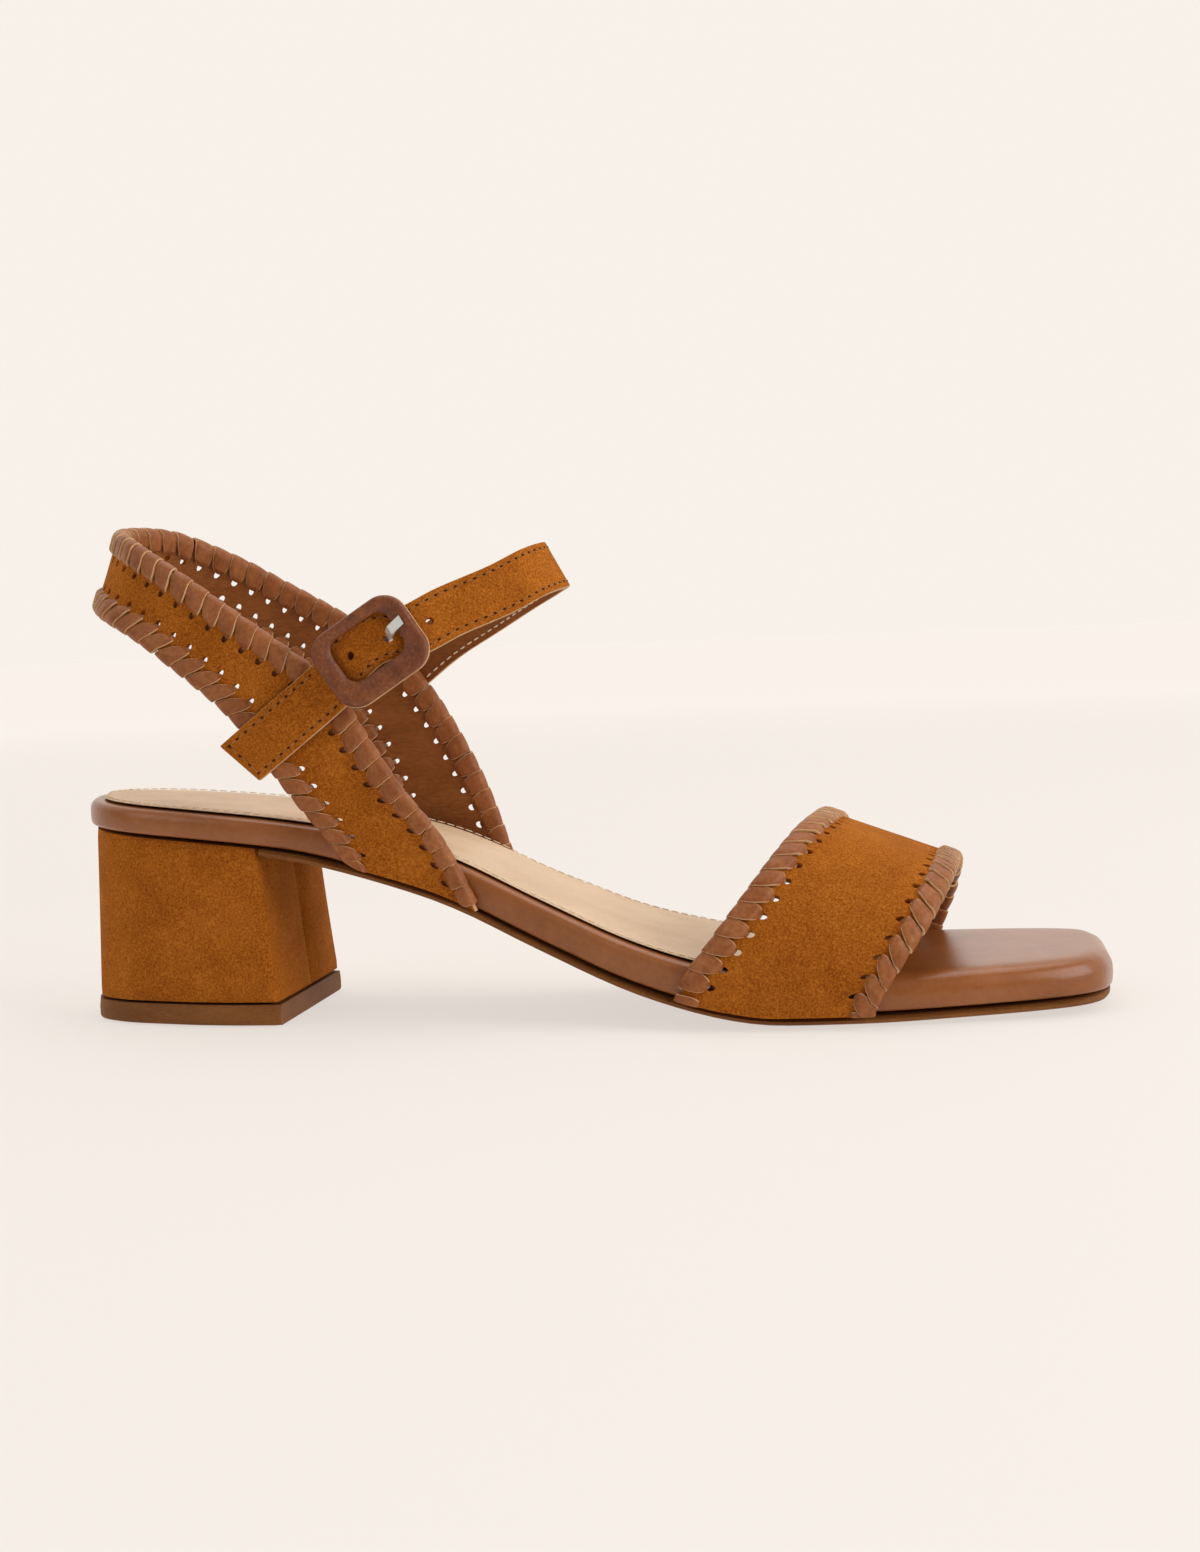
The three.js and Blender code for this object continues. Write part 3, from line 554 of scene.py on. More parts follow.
@dataclass(frozen=True)
class Finish:
    """A leather or metal finish, drawn by nodes on object coordinates.

    Lengths are in mm. The colour runs from dark through base to pale by a broad patch and a fine fleck.
    """

    name: str
    slot: str
    base: Colour
    dark: Colour
    pale: Colour
    ramp: tuple[float, float] = (0.32, 0.7)
    roughness: float = 0.6
    roughness_spread: float = 0.1
    patch: float = 14
    fleck: float = 0.8
    fleck_share: float = 0.5
    grain: float = 0.7
    grain_depth: float = 0.05
    crease: float = 0
    crease_depth: float = 0
    stretch: tuple[float, float, float] = (1, 1, 1)
    sheen: float = 0
    sheen_tint: Colour = (1, 1, 1)
    coat: float = 0
    coat_roughness: float = 0.3
    metallic: float = 0
    specular: float = 0.5
    patch_detail: float = 3
    fleck_detail: float = 4
    grain_detail: float = 5
    crease_detail: float = 2
    crease_distortion: float = 0.6
    noise_roughness: float = 0.6
    sheen_roughness: float = 0.45
    base_place: float = 0.5

    def noise(self, nodes: bpy.types.Nodes, size: float, detail: float) -> bpy.types.Node:
        """Adds a noise texture.

        Args:
            nodes: The material's nodes.
            size: The size of its features, in mm.
            detail: How many finer noises it adds.

        Returns:
            The texture's node.
        """
        node = nodes.new("ShaderNodeTexNoise")
        node.inputs["Scale"].default_value = 1 / (size * MM)
        node.inputs["Detail"].default_value = detail
        node.inputs["Roughness"].default_value = self.noise_roughness
        return node

    def build(self) -> bpy.types.Material:
        """Builds the material.

        Returns:
            The material, with its nodes.
        """
        material = bpy.data.materials.new(self.name)
        material.use_nodes = True
        nodes, links = material.node_tree.nodes, material.node_tree.links
        shader = nodes["Principled BSDF"]
        shader.inputs["Metallic"].default_value = self.metallic
        shader.inputs["Specular IOR Level"].default_value = self.specular
        shader.inputs["Sheen Weight"].default_value = self.sheen
        shader.inputs["Sheen Roughness"].default_value = self.sheen_roughness
        shader.inputs["Sheen Tint"].default_value = (*self.sheen_tint, 1)
        shader.inputs["Coat Weight"].default_value = self.coat
        shader.inputs["Coat Roughness"].default_value = self.coat_roughness
        place = nodes.new("ShaderNodeTexCoord")
        mapping = nodes.new("ShaderNodeMapping")
        mapping.inputs["Scale"].default_value = self.stretch
        links.new(place.outputs["Object"], mapping.inputs["Vector"])
        patch = self.noise(nodes, self.patch, self.patch_detail)
        fleck = self.noise(nodes, self.fleck, self.fleck_detail)
        grain = self.noise(nodes, self.grain, self.grain_detail)
        for node in (patch, fleck, grain):
            links.new(mapping.outputs["Vector"], node.inputs["Vector"])
        blend = nodes.new("ShaderNodeMix")
        blend.inputs["Factor"].default_value = self.fleck_share
        links.new(patch.outputs["Fac"], blend.inputs["A"])
        links.new(fleck.outputs["Fac"], blend.inputs["B"])
        ramp = nodes.new("ShaderNodeValToRGB")
        ramp.color_ramp.elements[0].position = self.ramp[0]
        ramp.color_ramp.elements[0].color = (*self.dark, 1)
        ramp.color_ramp.elements[1].position = self.ramp[1]
        ramp.color_ramp.elements[1].color = (*self.pale, 1)
        ramp.color_ramp.elements.new(self.base_place).color = (*self.base, 1)
        links.new(blend.outputs["Result"], ramp.inputs["Fac"])
        links.new(ramp.outputs["Color"], shader.inputs["Base Color"])
        gloss = nodes.new("ShaderNodeMapRange")
        gloss.inputs["To Min"].default_value = self.roughness - self.roughness_spread
        gloss.inputs["To Max"].default_value = self.roughness + self.roughness_spread
        links.new(fleck.outputs["Fac"], gloss.inputs["Value"])
        links.new(gloss.outputs["Result"], shader.inputs["Roughness"])
        bump = nodes.new("ShaderNodeBump")
        bump.inputs["Distance"].default_value = self.grain_depth * MM
        links.new(grain.outputs["Fac"], bump.inputs["Height"])
        if self.crease:
            crease = self.noise(nodes, self.crease, self.crease_detail)
            crease.inputs["Distortion"].default_value = self.crease_distortion
            links.new(mapping.outputs["Vector"], crease.inputs["Vector"])
            folds = nodes.new("ShaderNodeBump")
            folds.inputs["Distance"].default_value = self.crease_depth * MM
            links.new(crease.outputs["Fac"], folds.inputs["Height"])
            links.new(folds.outputs["Normal"], bump.inputs["Normal"])
        links.new(bump.outputs["Normal"], shader.inputs["Normal"])
        return material


SUEDE = Finish(
    "orange_suede", "suede", (0.35, 0.1, 0.01), (0.2, 0.048, 0.004), (0.54, 0.18, 0.022), ramp=(0.34, 0.68),
    roughness=0.95, roughness_spread=0.04, patch=12, fleck=0.5, fleck_share=0.75, grain=0.36,
    grain_depth=0.24, sheen=0.15, sheen_tint=(1, 0.5, 0.16), specular=0.04,
)
LACE = Finish(
    "lace_leather", "lace_leather", (0.28, 0.09, 0.026), (0.19, 0.053, 0.013), (0.39, 0.15, 0.052),
    roughness=0.42, roughness_spread=0.12, patch=7, fleck=1.1, grain=0.5, grain_depth=0.05, specular=0.22,
)
RAW_EDGE = Finish(
    "raw_leather_edge", "lace_leather", (0.58, 0.35, 0.18), (0.42, 0.23, 0.1), (0.72, 0.48, 0.28),
    roughness=0.85, roughness_spread=0.08, patch=3, fleck=0.4, grain=0.3, grain_depth=0.06, specular=0.2,
)
WRAP = Finish(
    "wrap_leather", "wrap_leather", (0.265, 0.082, 0.018), (0.2, 0.057, 0.011), (0.33, 0.112, 0.03),
    roughness=0.3, roughness_spread=0.06, patch=22, fleck=1.4, fleck_share=0.3, grain=0.55,
    grain_depth=0.03, crease=1.5, crease_depth=0.07, coat=0.3, coat_roughness=0.25, specular=0.3,
)
LINING = Finish(
    "lining_leather", "wrap_leather", (0.235, 0.072, 0.014), (0.16, 0.045, 0.008), (0.31, 0.105, 0.026),
    roughness=0.5, roughness_spread=0.1, patch=12, fleck=1.2, grain=0.5, grain_depth=0.05,
    crease=3.2, crease_depth=0.25, stretch=(0.6, 1, 1.8), specular=0.22,
)
SOCK = Finish(
    "sock_leather", "sock_leather", (0.66, 0.47, 0.3), (0.57, 0.385, 0.235), (0.74, 0.55, 0.375),
    roughness=0.55, roughness_spread=0.08, patch=22, fleck=1.2, fleck_share=0.35, grain=0.5,
    grain_depth=0.04, specular=0.35,
)
SOCK_EDGE = Finish(
    "sock_edge_thread", "sock_leather", (0.78, 0.64, 0.47), (0.66, 0.52, 0.36), (0.86, 0.74, 0.58),
    roughness=0.75, patch=5, fleck=0.5, grain=0.3, grain_depth=0.04, specular=0.25,
)
SOLE = Finish(
    "sole_leather", "sole_leather", (0.19, 0.068, 0.014), (0.13, 0.044, 0.01), (0.25, 0.096, 0.024),
    roughness=0.6, roughness_spread=0.1, patch=10, fleck=0.7, grain=0.4, grain_depth=0.05,
    stretch=(0.5, 1, 2), specular=0.2,
)
BUCKLE = Finish(
    "buckle_leather", "buckle_leather", (0.17, 0.043, 0.009), (0.1, 0.023, 0.005), (0.26, 0.08, 0.022),
    ramp=(0.36, 0.66), roughness=0.36, roughness_spread=0.12, patch=5, fleck=0.8, grain=0.45,
    grain_depth=0.16, crease=1.5, crease_depth=0.12, coat=0.08, coat_roughness=0.35, specular=0.35,
)
NICKEL = Finish(
    "brushed_nickel", "nickel", (0.86, 0.87, 0.82), (0.8, 0.81, 0.76), (0.92, 0.93, 0.88),
    roughness=0.34, roughness_spread=0.06, patch=3, fleck=0.3, grain=0.2, grain_depth=0.002,
    stretch=(0.3, 1, 1), metallic=0.6,
)
THREAD = Finish(
    "tan_thread", "suede", (0.32, 0.12, 0.028), (0.2, 0.065, 0.014), (0.45, 0.2, 0.06),
    roughness=0.8, patch=2, fleck=0.3, grain=0.2, grain_depth=0.03, specular=0.2,
)
# Painted shade: near-black dabs that stand for the shade inside the needle holes between stitches
NEEDLE_HOLE_SHADE = Finish(
    "needle_hole_shade", "suede", (0.05, 0.017, 0.006), (0.03, 0.01, 0.003), (0.08, 0.03, 0.012),
    roughness=0.95, patch=2, fleck=0.3, grain=0.2, grain_depth=0.02, specular=0.05,
)
FINISHES = {
    finish.name: finish.build()
    for finish in (
        SUEDE, LACE, RAW_EDGE, WRAP, LINING, SOCK, SOCK_EDGE, SOLE, BUCKLE, NICKEL, THREAD, NEEDLE_HOLE_SHADE,
    )
}


def dress(piece: bpy.types.Object, *finishes: Finish, replaces: str = "") -> bpy.types.Object:
    """Gives a piece its finishes and its place on the sandal.

    Args:
        piece: The piece, with its faces' material numbers set.
        finishes: The finish of each material number.
        replaces: The CAD node that it stands for, if any.

    Returns:
        The same piece.
    """
    numbers = [polygon.material_index for polygon in piece.data.polygons]
    piece.data.materials.clear()
    for finish in finishes:
        piece.data.materials.append(FINISHES[finish.name])
    piece.data.polygons.foreach_set("material_index", [min(n, len(finishes) - 1) for n in numbers])
    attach(piece, "root")
    if replaces:
        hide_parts(replaces)
    log.info("%s: %d faces", piece.name, len(piece.data.polygons))
    return piece


class Foot(NamedTuple):
    """Where a strap meets the sole, as shares of the footbed's length."""

    at_start: bool
    side: Side
    rear: float
    front: float


class StrapSurface:
    """Middle surface of a strap, sampled once and read by distance and width."""

    STEPS = 400
    COLUMNS = 17
    # Where the pull of a foot ends, in reaches
    PULL_END = 3

    def __init__(self, edge_at: EdgeCurve, feet: Sequence[Foot], reach: float) -> None:
        """Samples the surface.

        Args:
            edge_at: Gives a point of an edge by the share of the way along.
            feet: Where the strap meets the sole.
            reach: How far up a foot the strap lies on the sole's rim.
        """
        shares = np.linspace(0, 1, self.COLUMNS)
        turns = np.linspace(0, 1, self.STEPS + 1)
        rear, front = (np.array([edge_at(t, edge) for t in turns]) for edge in Edge)
        self.lengths = lengths_along((rear + front) / 2)
        self.length = float(self.lengths[-1])
        self.widths = np.linalg.norm(rear - front, axis=1)
        self.feet, self.reach = feet, reach
        straight = rear[:, None] * (1 - shares)[None, :, None] + front[:, None] * shares[None, :, None]
        self.grid = straight.copy()
        for foot in feet:
            away = self.lengths if foot.at_start else self.length - self.lengths
            pull = 1 - smoothstep(away, reach, self.PULL_END * reach)
            ends = [foot.rear + (foot.front - foot.rear) * s for s in shares]
            rim = np.array([LAST.strap_foot(foot.side, along) for along in ends])
            self.grid += pull[:, None, None] * (rim - straight[0 if foot.at_start else -1])[None]
        across, along = np.gradient(self.grid, axis=1), np.gradient(self.grid, axis=0)
        normals = np.cross(across, along)
        self.normals = normals / np.linalg.norm(normals, axis=2)[:, :, None]

    def width(self, distance: np.ndarray) -> np.ndarray:
        """Width of the strap at distances along it."""
        return np.interp(distance, self.lengths, self.widths)

    def clear_of_feet(self, distance: np.ndarray) -> np.ndarray:
        """Share of the full relief at distances: none where the strap is pressed to the rim.

        Args:
            distance: The distances along the strap.

        Returns:
            The shares.
        """
        gaps = [distance if foot.at_start else self.length - distance for foot in self.feet]
        nearest = np.minimum.reduce(gaps) if gaps else np.full_like(distance, self.length)
        return np.clip(nearest / self.reach - 1, 0, 1)

    def place(self, flat: np.ndarray) -> np.ndarray:
        """Puts points on the strap.

        Args:
            flat: Rows of the distance along, the distance from the rear edge and the offset outwards, in mm.

        Returns:
            The points in space, in metres.
        """
        spot = np.interp(flat[:, 0], self.lengths, np.arange(len(self.lengths)))
        i = np.clip(spot.astype(int), 0, len(self.lengths) - 2)
        f = (spot - i)[:, None]
        column = flat[:, 1] / self.width(flat[:, 0]) * (self.grid.shape[1] - 1)
        j = np.clip(column.astype(int), 0, self.grid.shape[1] - 2)
        g = (column - j)[:, None]

        def blend(table: np.ndarray) -> np.ndarray:
            """Reads a table between its four nearest samples.

            Args:
                table: The table to read.

            Returns:
                Its values at the points.
            """
            near = table[i, j] * (1 - g) + table[i, j + 1] * g
            far = table[i + 1, j] * (1 - g) + table[i + 1, j + 1] * g
            return near * (1 - f) + far * f

        normal = blend(self.normals)
        normal /= np.linalg.norm(normal, axis=1)[:, None]
        return (blend(self.grid) + normal * flat[:, 2:3]) * MM

    def hem_lengths(self, edge: Edge, hem: float) -> np.ndarray:
        """Length along the line of lace holes, at each sample.

        Args:
            edge: The edge that the lace runs over.
            hem: How far from it the holes lie.

        Returns:
            The lengths.
        """
        from_rear = np.full_like(self.lengths, hem) if edge is Edge.REAR else self.widths - hem
        line = self.place(np.stack([self.lengths, from_rear, 0 * self.lengths], 1)) / MM
        return lengths_along(line)


@dataclass
class WhipLace:
    """A flat leather lace whipped over one edge of a strap, turn by turn. Sizes are in mm."""

    surface: StrapSurface
    edge: Edge
    leans: Sequence[LeanRow]
    pitch: float = 5
    width: float = 5.1
    end_width: float = 3.6
    thickness: float = 0.8
    crown: float = 0.16
    tilt: float = 0.2
    hem: float = 6.4
    dive: float = 1.5
    dive_curve: float = 1.5
    tip: float = 1.7
    tip_stations: Sequence[float] = (0, 0.25, 0.7, 1.2)
    tip_blunt: float = 0.03
    bend_steps: int = 8
    cells_across: int = 4
    rounding: float = 0.16
    lift: float = 0.2
    hole_gap: float = 0.3
    least_relief: float = 0.3
    skew_spread: float = 0.16
    swell_spread: float = 0.018
    hems: np.ndarray = field(init=False)
    turns: int = field(init=False)

    def __post_init__(self) -> None:
        """Measures the line of holes and settles the number of turns."""
        self.hems = self.surface.hem_lengths(self.edge, self.hem)
        self.turns = round(self.hems[-1] / self.pitch)
        self.pitch = self.hems[-1] / self.turns
        self.half = LAST.strap_wall / 2
        self.edge_radius = self.half + self.lift + self.thickness
        self.flat = self.hem - self.edge_radius
        self.bend = math.pi * (self.half + self.lift)
        self.run = 2 * self.flat + self.bend
        self.rim = self.surface.grid[:, 0 if self.edge is Edge.REAR else -1]

    def square_to_edge(self, hem_place: float) -> float:
        """How far along the holes' line the nearest point of the edge lies from a hole.

        Args:
            hem_place: The hole's place on the line of holes.

        Returns:
            The distance, ahead or behind.
        """
        distance = float(np.interp(hem_place, self.hems, self.surface.lengths))
        across = self.hem if self.edge is Edge.REAR else float(self.surface.width(distance)) - self.hem
        hole = self.surface.place(np.array([[distance, across, 0]]))[0] / MM
        nearest = int(np.argmin(np.linalg.norm(self.rim - hole, axis=1)))
        return float(self.hems[nearest]) - hem_place

    def hole_places(self) -> list[tuple[float, float]]:
        """Distance along the strap and from its rear edge of each lace hole.

        Returns:
            The distances, hole by hole.
        """
        places = []
        for turn in range(self.turns + 1):
            distance = float(np.interp(turn * self.pitch, self.hems, self.surface.lengths))
            from_edge = self.hem + self.hole_gap
            across = from_edge if self.edge is Edge.REAR else float(self.surface.width(distance)) - from_edge
            places.append((distance, across))
        return places

    def turn_model(self) -> bpy.types.Object:
        """Models one turn flat: X is the way along it, Y across it and Z through it, in mm.

        Returns:
            The turn, with its faces numbered leather 0 and raw edge 1.
        """
        tip, flat, run = self.tip, self.flat, self.run
        half = [*self.tip_stations, tip, (tip + flat) / 2, flat]
        bend = [flat + self.bend * k / self.bend_steps for k in range(1, self.bend_steps)]
        stations = np.array([*half, *bend, *(run - s for s in reversed(half))])
        strip = add_sheet("turn", len(stations) - 1, self.cells_across)

        def outline(p: np.ndarray) -> np.ndarray:
            """Rounds both ends and narrows the strip towards them.

            Args:
                p: The sheet's points.

            Returns:
                The strip's points.
            """
            s = stations[np.rint(p[:, 0] * (len(stations) - 1)).astype(int)]
            away = np.minimum(s, run - s)
            taper = self.end_width + (self.width - self.end_width) * smoothstep(away, 0, flat)
            round_end = np.sqrt(np.clip(1 - (1 - np.clip(away / tip, 0, 1)) ** 2, self.tip_blunt, 1))
            return np.stack([s, (p[:, 1] - 0.5) * taper * round_end, 0 * s], 1)

        shape(strip, outline)
        strip.data.materials.append(FINISHES[LACE.name])
        strip.data.materials.append(FINISHES[RAW_EDGE.name])
        apply_modifier(strip, "SOLIDIFY", thickness=self.thickness, offset=1, material_offset_rim=1)
        apply_modifier(
            strip, "BEVEL", width=self.rounding, segments=1, limit_method="ANGLE",
            angle_limit=math.radians(50),
        )
        return strip

    def on_edge(self, p: np.ndarray, turn: int, lean: float, skew: float, swell: float) -> np.ndarray:
        """Wraps one flat turn over the strap's edge.

        Args:
            p: The turn's flat points.
            turn: Its number.
            lean: How far its edge end lies ahead of its outer hole, along the line of holes.
            skew: A small shift of its edge end.
            swell: A small change of its width.

        Returns:
            The points in space.
        """
        s, w, h = p[:, 0], p[:, 1] * swell, p[:, 2]
        half_width = 0.5 * self.width
        reach = np.clip(w / half_width, -1, 1)
        h = h + self.crown * (h > 0.5 * self.thickness) * (1 - reach**2) - self.tilt * reach
        radius = self.half + self.lift + h
        angle = np.clip((s - self.flat) / self.bend, 0, 1) * math.pi
        beyond = np.maximum(s - self.flat - self.bend, 0)
        before = np.maximum(self.flat - s, 0)
        from_edge = self.edge_radius + before + beyond - radius * np.sin(angle)
        total = math.copysign(self.pitch, self.leans[0].rear)
        out_share = np.clip(s / (self.flat + self.bend / 2), 0, 1)
        in_share = np.clip((s - self.flat - self.bend / 2) / (self.flat + self.bend / 2), 0, 1)
        ease = np.sin(np.clip(s / self.run, 0, 1) * math.pi)
        hem_place = turn * self.pitch + lean * out_share + (total - lean) * in_share + w + skew * ease
        distance = np.interp(hem_place, self.hems, self.surface.lengths)
        near_tip = 1 - smoothstep(np.minimum(s, self.run - s), 0, self.tip)
        tip_dive = self.dive * near_tip**self.dive_curve
        relief = np.maximum(self.surface.clear_of_feet(distance), self.least_relief)
        inner = self.half + (radius - self.half) * relief
        offset = np.where(angle < math.pi / 2, radius, inner) * np.cos(angle)
        offset = np.where(np.cos(angle) > 0, offset - tip_dive, offset + tip_dive)
        across = from_edge if self.edge is Edge.REAR else self.surface.width(distance) - from_edge
        return self.surface.place(np.stack([distance, across, offset], 1))

    def build(self, name: str) -> bpy.types.Object:
        """Copies the modelled turn along the edge.

        Args:
            name: The lace's name.

        Returns:
            All turns as one piece.
        """
        model = self.turn_model()
        dice = np.random.default_rng(SEED + self.edge.value)
        column = self.edge.name.lower()
        turns = []
        for turn in range(self.turns + 1):
            lean = column_at(self.leans, column, turn / self.turns) + self.square_to_edge(turn * self.pitch)
            skew, swell = dice.normal(0, self.skew_spread), 1 + dice.normal(0, self.swell_spread)
            copy = copy_of(model, f"{name}_{turn}")
            shape(copy, lambda p, t=turn, k=lean, a=skew, b=swell: self.on_edge(p, t, k, a, b))
            turns.append(copy)
        bpy.data.objects.remove(model)
        return smooth(join(name, turns), angle=50)


def strap_wall(
    name: str,
    surface: StrapSurface,
    trim: float,
    thickness: float,
    cell: float,
    holes: Sequence[Hole],
    rim_round: float = 0,
    placing: Shaper | None = None,
) -> bpy.types.Object:
    """Models a strap's wall flat, punches its holes and bends it round the foot.

    Args:
        name: The piece's name.
        surface: The strap's middle surface.
        trim: How far its edges stand back, in mm.
        thickness: Its thickness, in mm.
        cell: The size of its mesh, in mm.
        holes: The holes to punch.
        rim_round: The rounding of its edges, in mm.
        placing: What puts the pattern in space, where it isn't the surface alone.

    Returns:
        The wall. Its faces are numbered outer 0, inner 1 and rim 2.
    """
    rows = max(round(float(surface.widths.mean()) / cell), 4)
    wall = add_sheet(name, round(surface.length / cell), rows)

    def lay(p: np.ndarray) -> np.ndarray:
        """Lays the sheet out flat at its true length and width.

        Args:
            p: The sheet's points.

        Returns:
            The pattern's points, in mm.
        """
        distance = p[:, 0] * surface.length
        width = surface.width(distance)
        return np.stack([distance, trim + p[:, 1] * (width - 2 * trim), 0 * distance], 1)

    shape(wall, lay)
    for _ in range(3):
        wall.data.materials.append(None)
    apply_modifier(
        wall, "SOLIDIFY", thickness=thickness, offset=0, material_offset=1, material_offset_rim=2
    )
    if rim_round:
        apply_modifier(
            wall, "BEVEL", width=rim_round, segments=2, limit_method="ANGLE", angle_limit=math.radians(60)
        )
    punches = []
    for hole in holes:
        bpy.ops.object.select_all(action="DESELECT")
        bpy.ops.mesh.primitive_cylinder_add(vertices=PUNCH_SIDES, radius=1, depth=PUNCH_DEPTH * thickness)
        punch = bpy.context.object
        size = np.array([hole.half_length, hole.half_width, 1])
        shape(punch, lambda p, at=np.array([hole.distance, hole.across, 0]), k=size: p * k + at)
        punches.append(punch)
    if punches:
        cutter = join("punches", punches)
        apply_modifier(wall, "BOOLEAN", object=cutter, operation="DIFFERENCE", solver="EXACT")
        bpy.data.objects.remove(cutter)
    shape(wall, placing or surface.place)
    return smooth(wall)


def stitch_model(size: Stitch) -> bpy.types.Object:
    """Models one stitch, long in X, in mm.

    Args:
        size: The stitch's size.

    Returns:
        The stitch.
    """
    bpy.ops.object.select_all(action="DESELECT")
    bpy.ops.mesh.primitive_uv_sphere_add(segments=8, ring_count=6, radius=0.5)
    stitch = bpy.context.object
    return shape(stitch, lambda p: np.sign(p) * np.abs(2 * p) ** STITCH_ROUNDNESS / 2 * np.array(size))


def sew(name: str, model: bpy.types.Object, places: Sequence[Spot], placing: Shaper) -> bpy.types.Object:
    """Copies a stitch to places on a flat pattern and bends the row into place.

    Args:
        name: The row's name.
        model: The stitch, which is used up.
        places: Each stitch's place and its angle on the pattern.
        placing: Takes points of the pattern and returns them in space.

    Returns:
        The row of stitches as one piece.
    """
    row = []
    for x, y, angle in places:
        cos, sin = math.cos(angle), math.sin(angle)
        turn = np.array([[cos, sin, 0], [-sin, cos, 0], [0, 0, 1]])
        copy = copy_of(model, name)
        shape(copy, lambda p, m=turn, at=np.array([x, y, 0]): placing(p @ m + at))
        row.append(copy)
    bpy.data.objects.remove(model)
    return smooth(join(name, row), angle=60)


@dataclass
class LacedStrap:
    """A suede strap with a whip lace over both edges. Sizes are in mm.

    Over a first share of its length, filled, the lace fills the holes of the front edge.
    """

    name: str
    surface: StrapSurface
    leans: Sequence[LeanRow]
    filled: float = 0
    trim: float = 1.7
    cell: float = 1.5
    hole_half_length: float = 0.75
    hole_half_width: float = 1.1
    loop: Stitch = Stitch(1.9, 2.8, 0.9)
    loop_depth: float = 0.5

    def inside_hole(self, p: np.ndarray) -> np.ndarray:
        """Puts the turns of a lace that fill their holes under the strap's outer face."""
        return self.surface.place(p - np.array([0, 0, self.loop_depth]))

    def build(self) -> None:
        """Builds and dresses the wall and its two laces."""
        holes = []
        for edge in Edge:
            lace = WhipLace(self.surface, edge, self.leans)
            places = lace.hole_places()[1:-1]
            holes += [Hole(d, a, self.hole_half_length, self.hole_half_width) for d, a in places]
            if self.filled and edge is Edge.FRONT:
                tight = [Spot(d, a) for d, a in places if d < self.filled * self.surface.length]
                loops = sew(f"{self.name}_lace_loops", stitch_model(self.loop), tight, self.inside_hole)
                dress(loops, LACE)
            dress(lace.build(f"{self.name}_lace_{edge.name.lower()}"), LACE, RAW_EDGE)
        wall = strap_wall(f"{self.name}_wall", self.surface, self.trim, LAST.strap_wall, self.cell, holes)
        dress(wall, SUEDE, LINING, RAW_EDGE, replaces=self.name)


@dataclass
class ToeStrap:
    """The laced strap over the ball. Sizes are in mm."""

    rear_rise: float = 45.2
    front_rise: float = 32.5
    fullness: float = 0.72
    pull_rise: float = 4
    leans: Sequence[LeanRow] = (
        LeanRow(0, -1.2, -3.2), LeanRow(0.12, -2, -3.2), LeanRow(0.35, -3.8, -3.6), LeanRow(1, -3.6, -3.6),
    )

    def edge_at(self, t: float, edge: Edge) -> np.ndarray:
        """Point of an edge by the share of the way from the lateral to the medial side.

        Args:
            t: The share of the way.
            edge: The edge.

        Returns:
            The point, in mm.
        """
        column = edge.name.lower()
        rise = self.rear_rise if edge is Edge.REAR else self.front_rise
        ends = ((Side.LATERAL, TOE_SWEEP[0]), (Side.MEDIAL, TOE_SWEEP[-1]))
        starts = [LAST.strap_foot(side, getattr(row, column)) for side, row in ends]
        angle = t * math.pi
        base = starts[0][2] + (starts[1][2] - starts[0][2]) * t
        reach = abs(math.cos(angle)) ** self.fullness
        lift = max(math.sin(angle), 0) ** self.fullness
        foot = starts[0] if angle < math.pi / 2 else starts[1]
        x = LAST.x_at(column_at(TOE_SWEEP, column, t))
        return np.array([x, foot[1] * reach, base + (rise - base) * lift])

    def build(self) -> None:
        """Builds and dresses the strap."""
        first, last = TOE_SWEEP[0], TOE_SWEEP[-1]
        feet = [
            Foot(True, Side.LATERAL, first.rear, first.front),
            Foot(False, Side.MEDIAL, last.rear, last.front),
        ]
        reach = LAST.footbed_thickness + self.pull_rise
        LacedStrap("toe_strap", StrapSurface(self.edge_at, feet, reach), self.leans).build()


@dataclass
class QuarterStrap:
    """The laced strap from the sole, round the back of the ankle. Sizes are in mm."""

    lateral: Foot = Foot(True, Side.LATERAL, 0.289, 0.419)
    medial: Foot = Foot(False, Side.MEDIAL, 0.293, 0.421)
    filled: float = 0.4
    leans: Sequence[LeanRow] = (
        LeanRow(0, 4.8, 0.8), LeanRow(0.1, 4.8, 1.6), LeanRow(0.2, 4.8, 2.6), LeanRow(0.45, 4.8, 2.8),
        LeanRow(0.6, 4.5, 4.2), LeanRow(1, 4.5, 4.4),
    )

    def edges(self) -> dict[Edge, np.ndarray]:
        """Points that each edge runs through.

        Returns:
            The points by edge, in mm.
        """
        lines = {}
        for edge, rows in ((Edge.REAR, QUARTER_REAR), (Edge.FRONT, QUARTER_FRONT)):
            column = edge.name.lower()
            ends = [LAST.strap_foot(foot.side, getattr(foot, column)) for foot in (self.lateral, self.medial)]
            lines[edge] = np.array([ends[0], *LAST.round_ankle(np.array(rows)), ends[1]])
        return lines

    def build(self) -> None:
        """Builds and dresses the strap."""
        lines = self.edges()
        reach = LAST.footbed_thickness + LAST.sock_thickness
        feet = [self.lateral, self.medial]
        surface = StrapSurface(lambda t, edge: centripetal(lines[edge], t), feet, reach)
        LacedStrap("quarter_strap", surface, self.leans, self.filled).build()


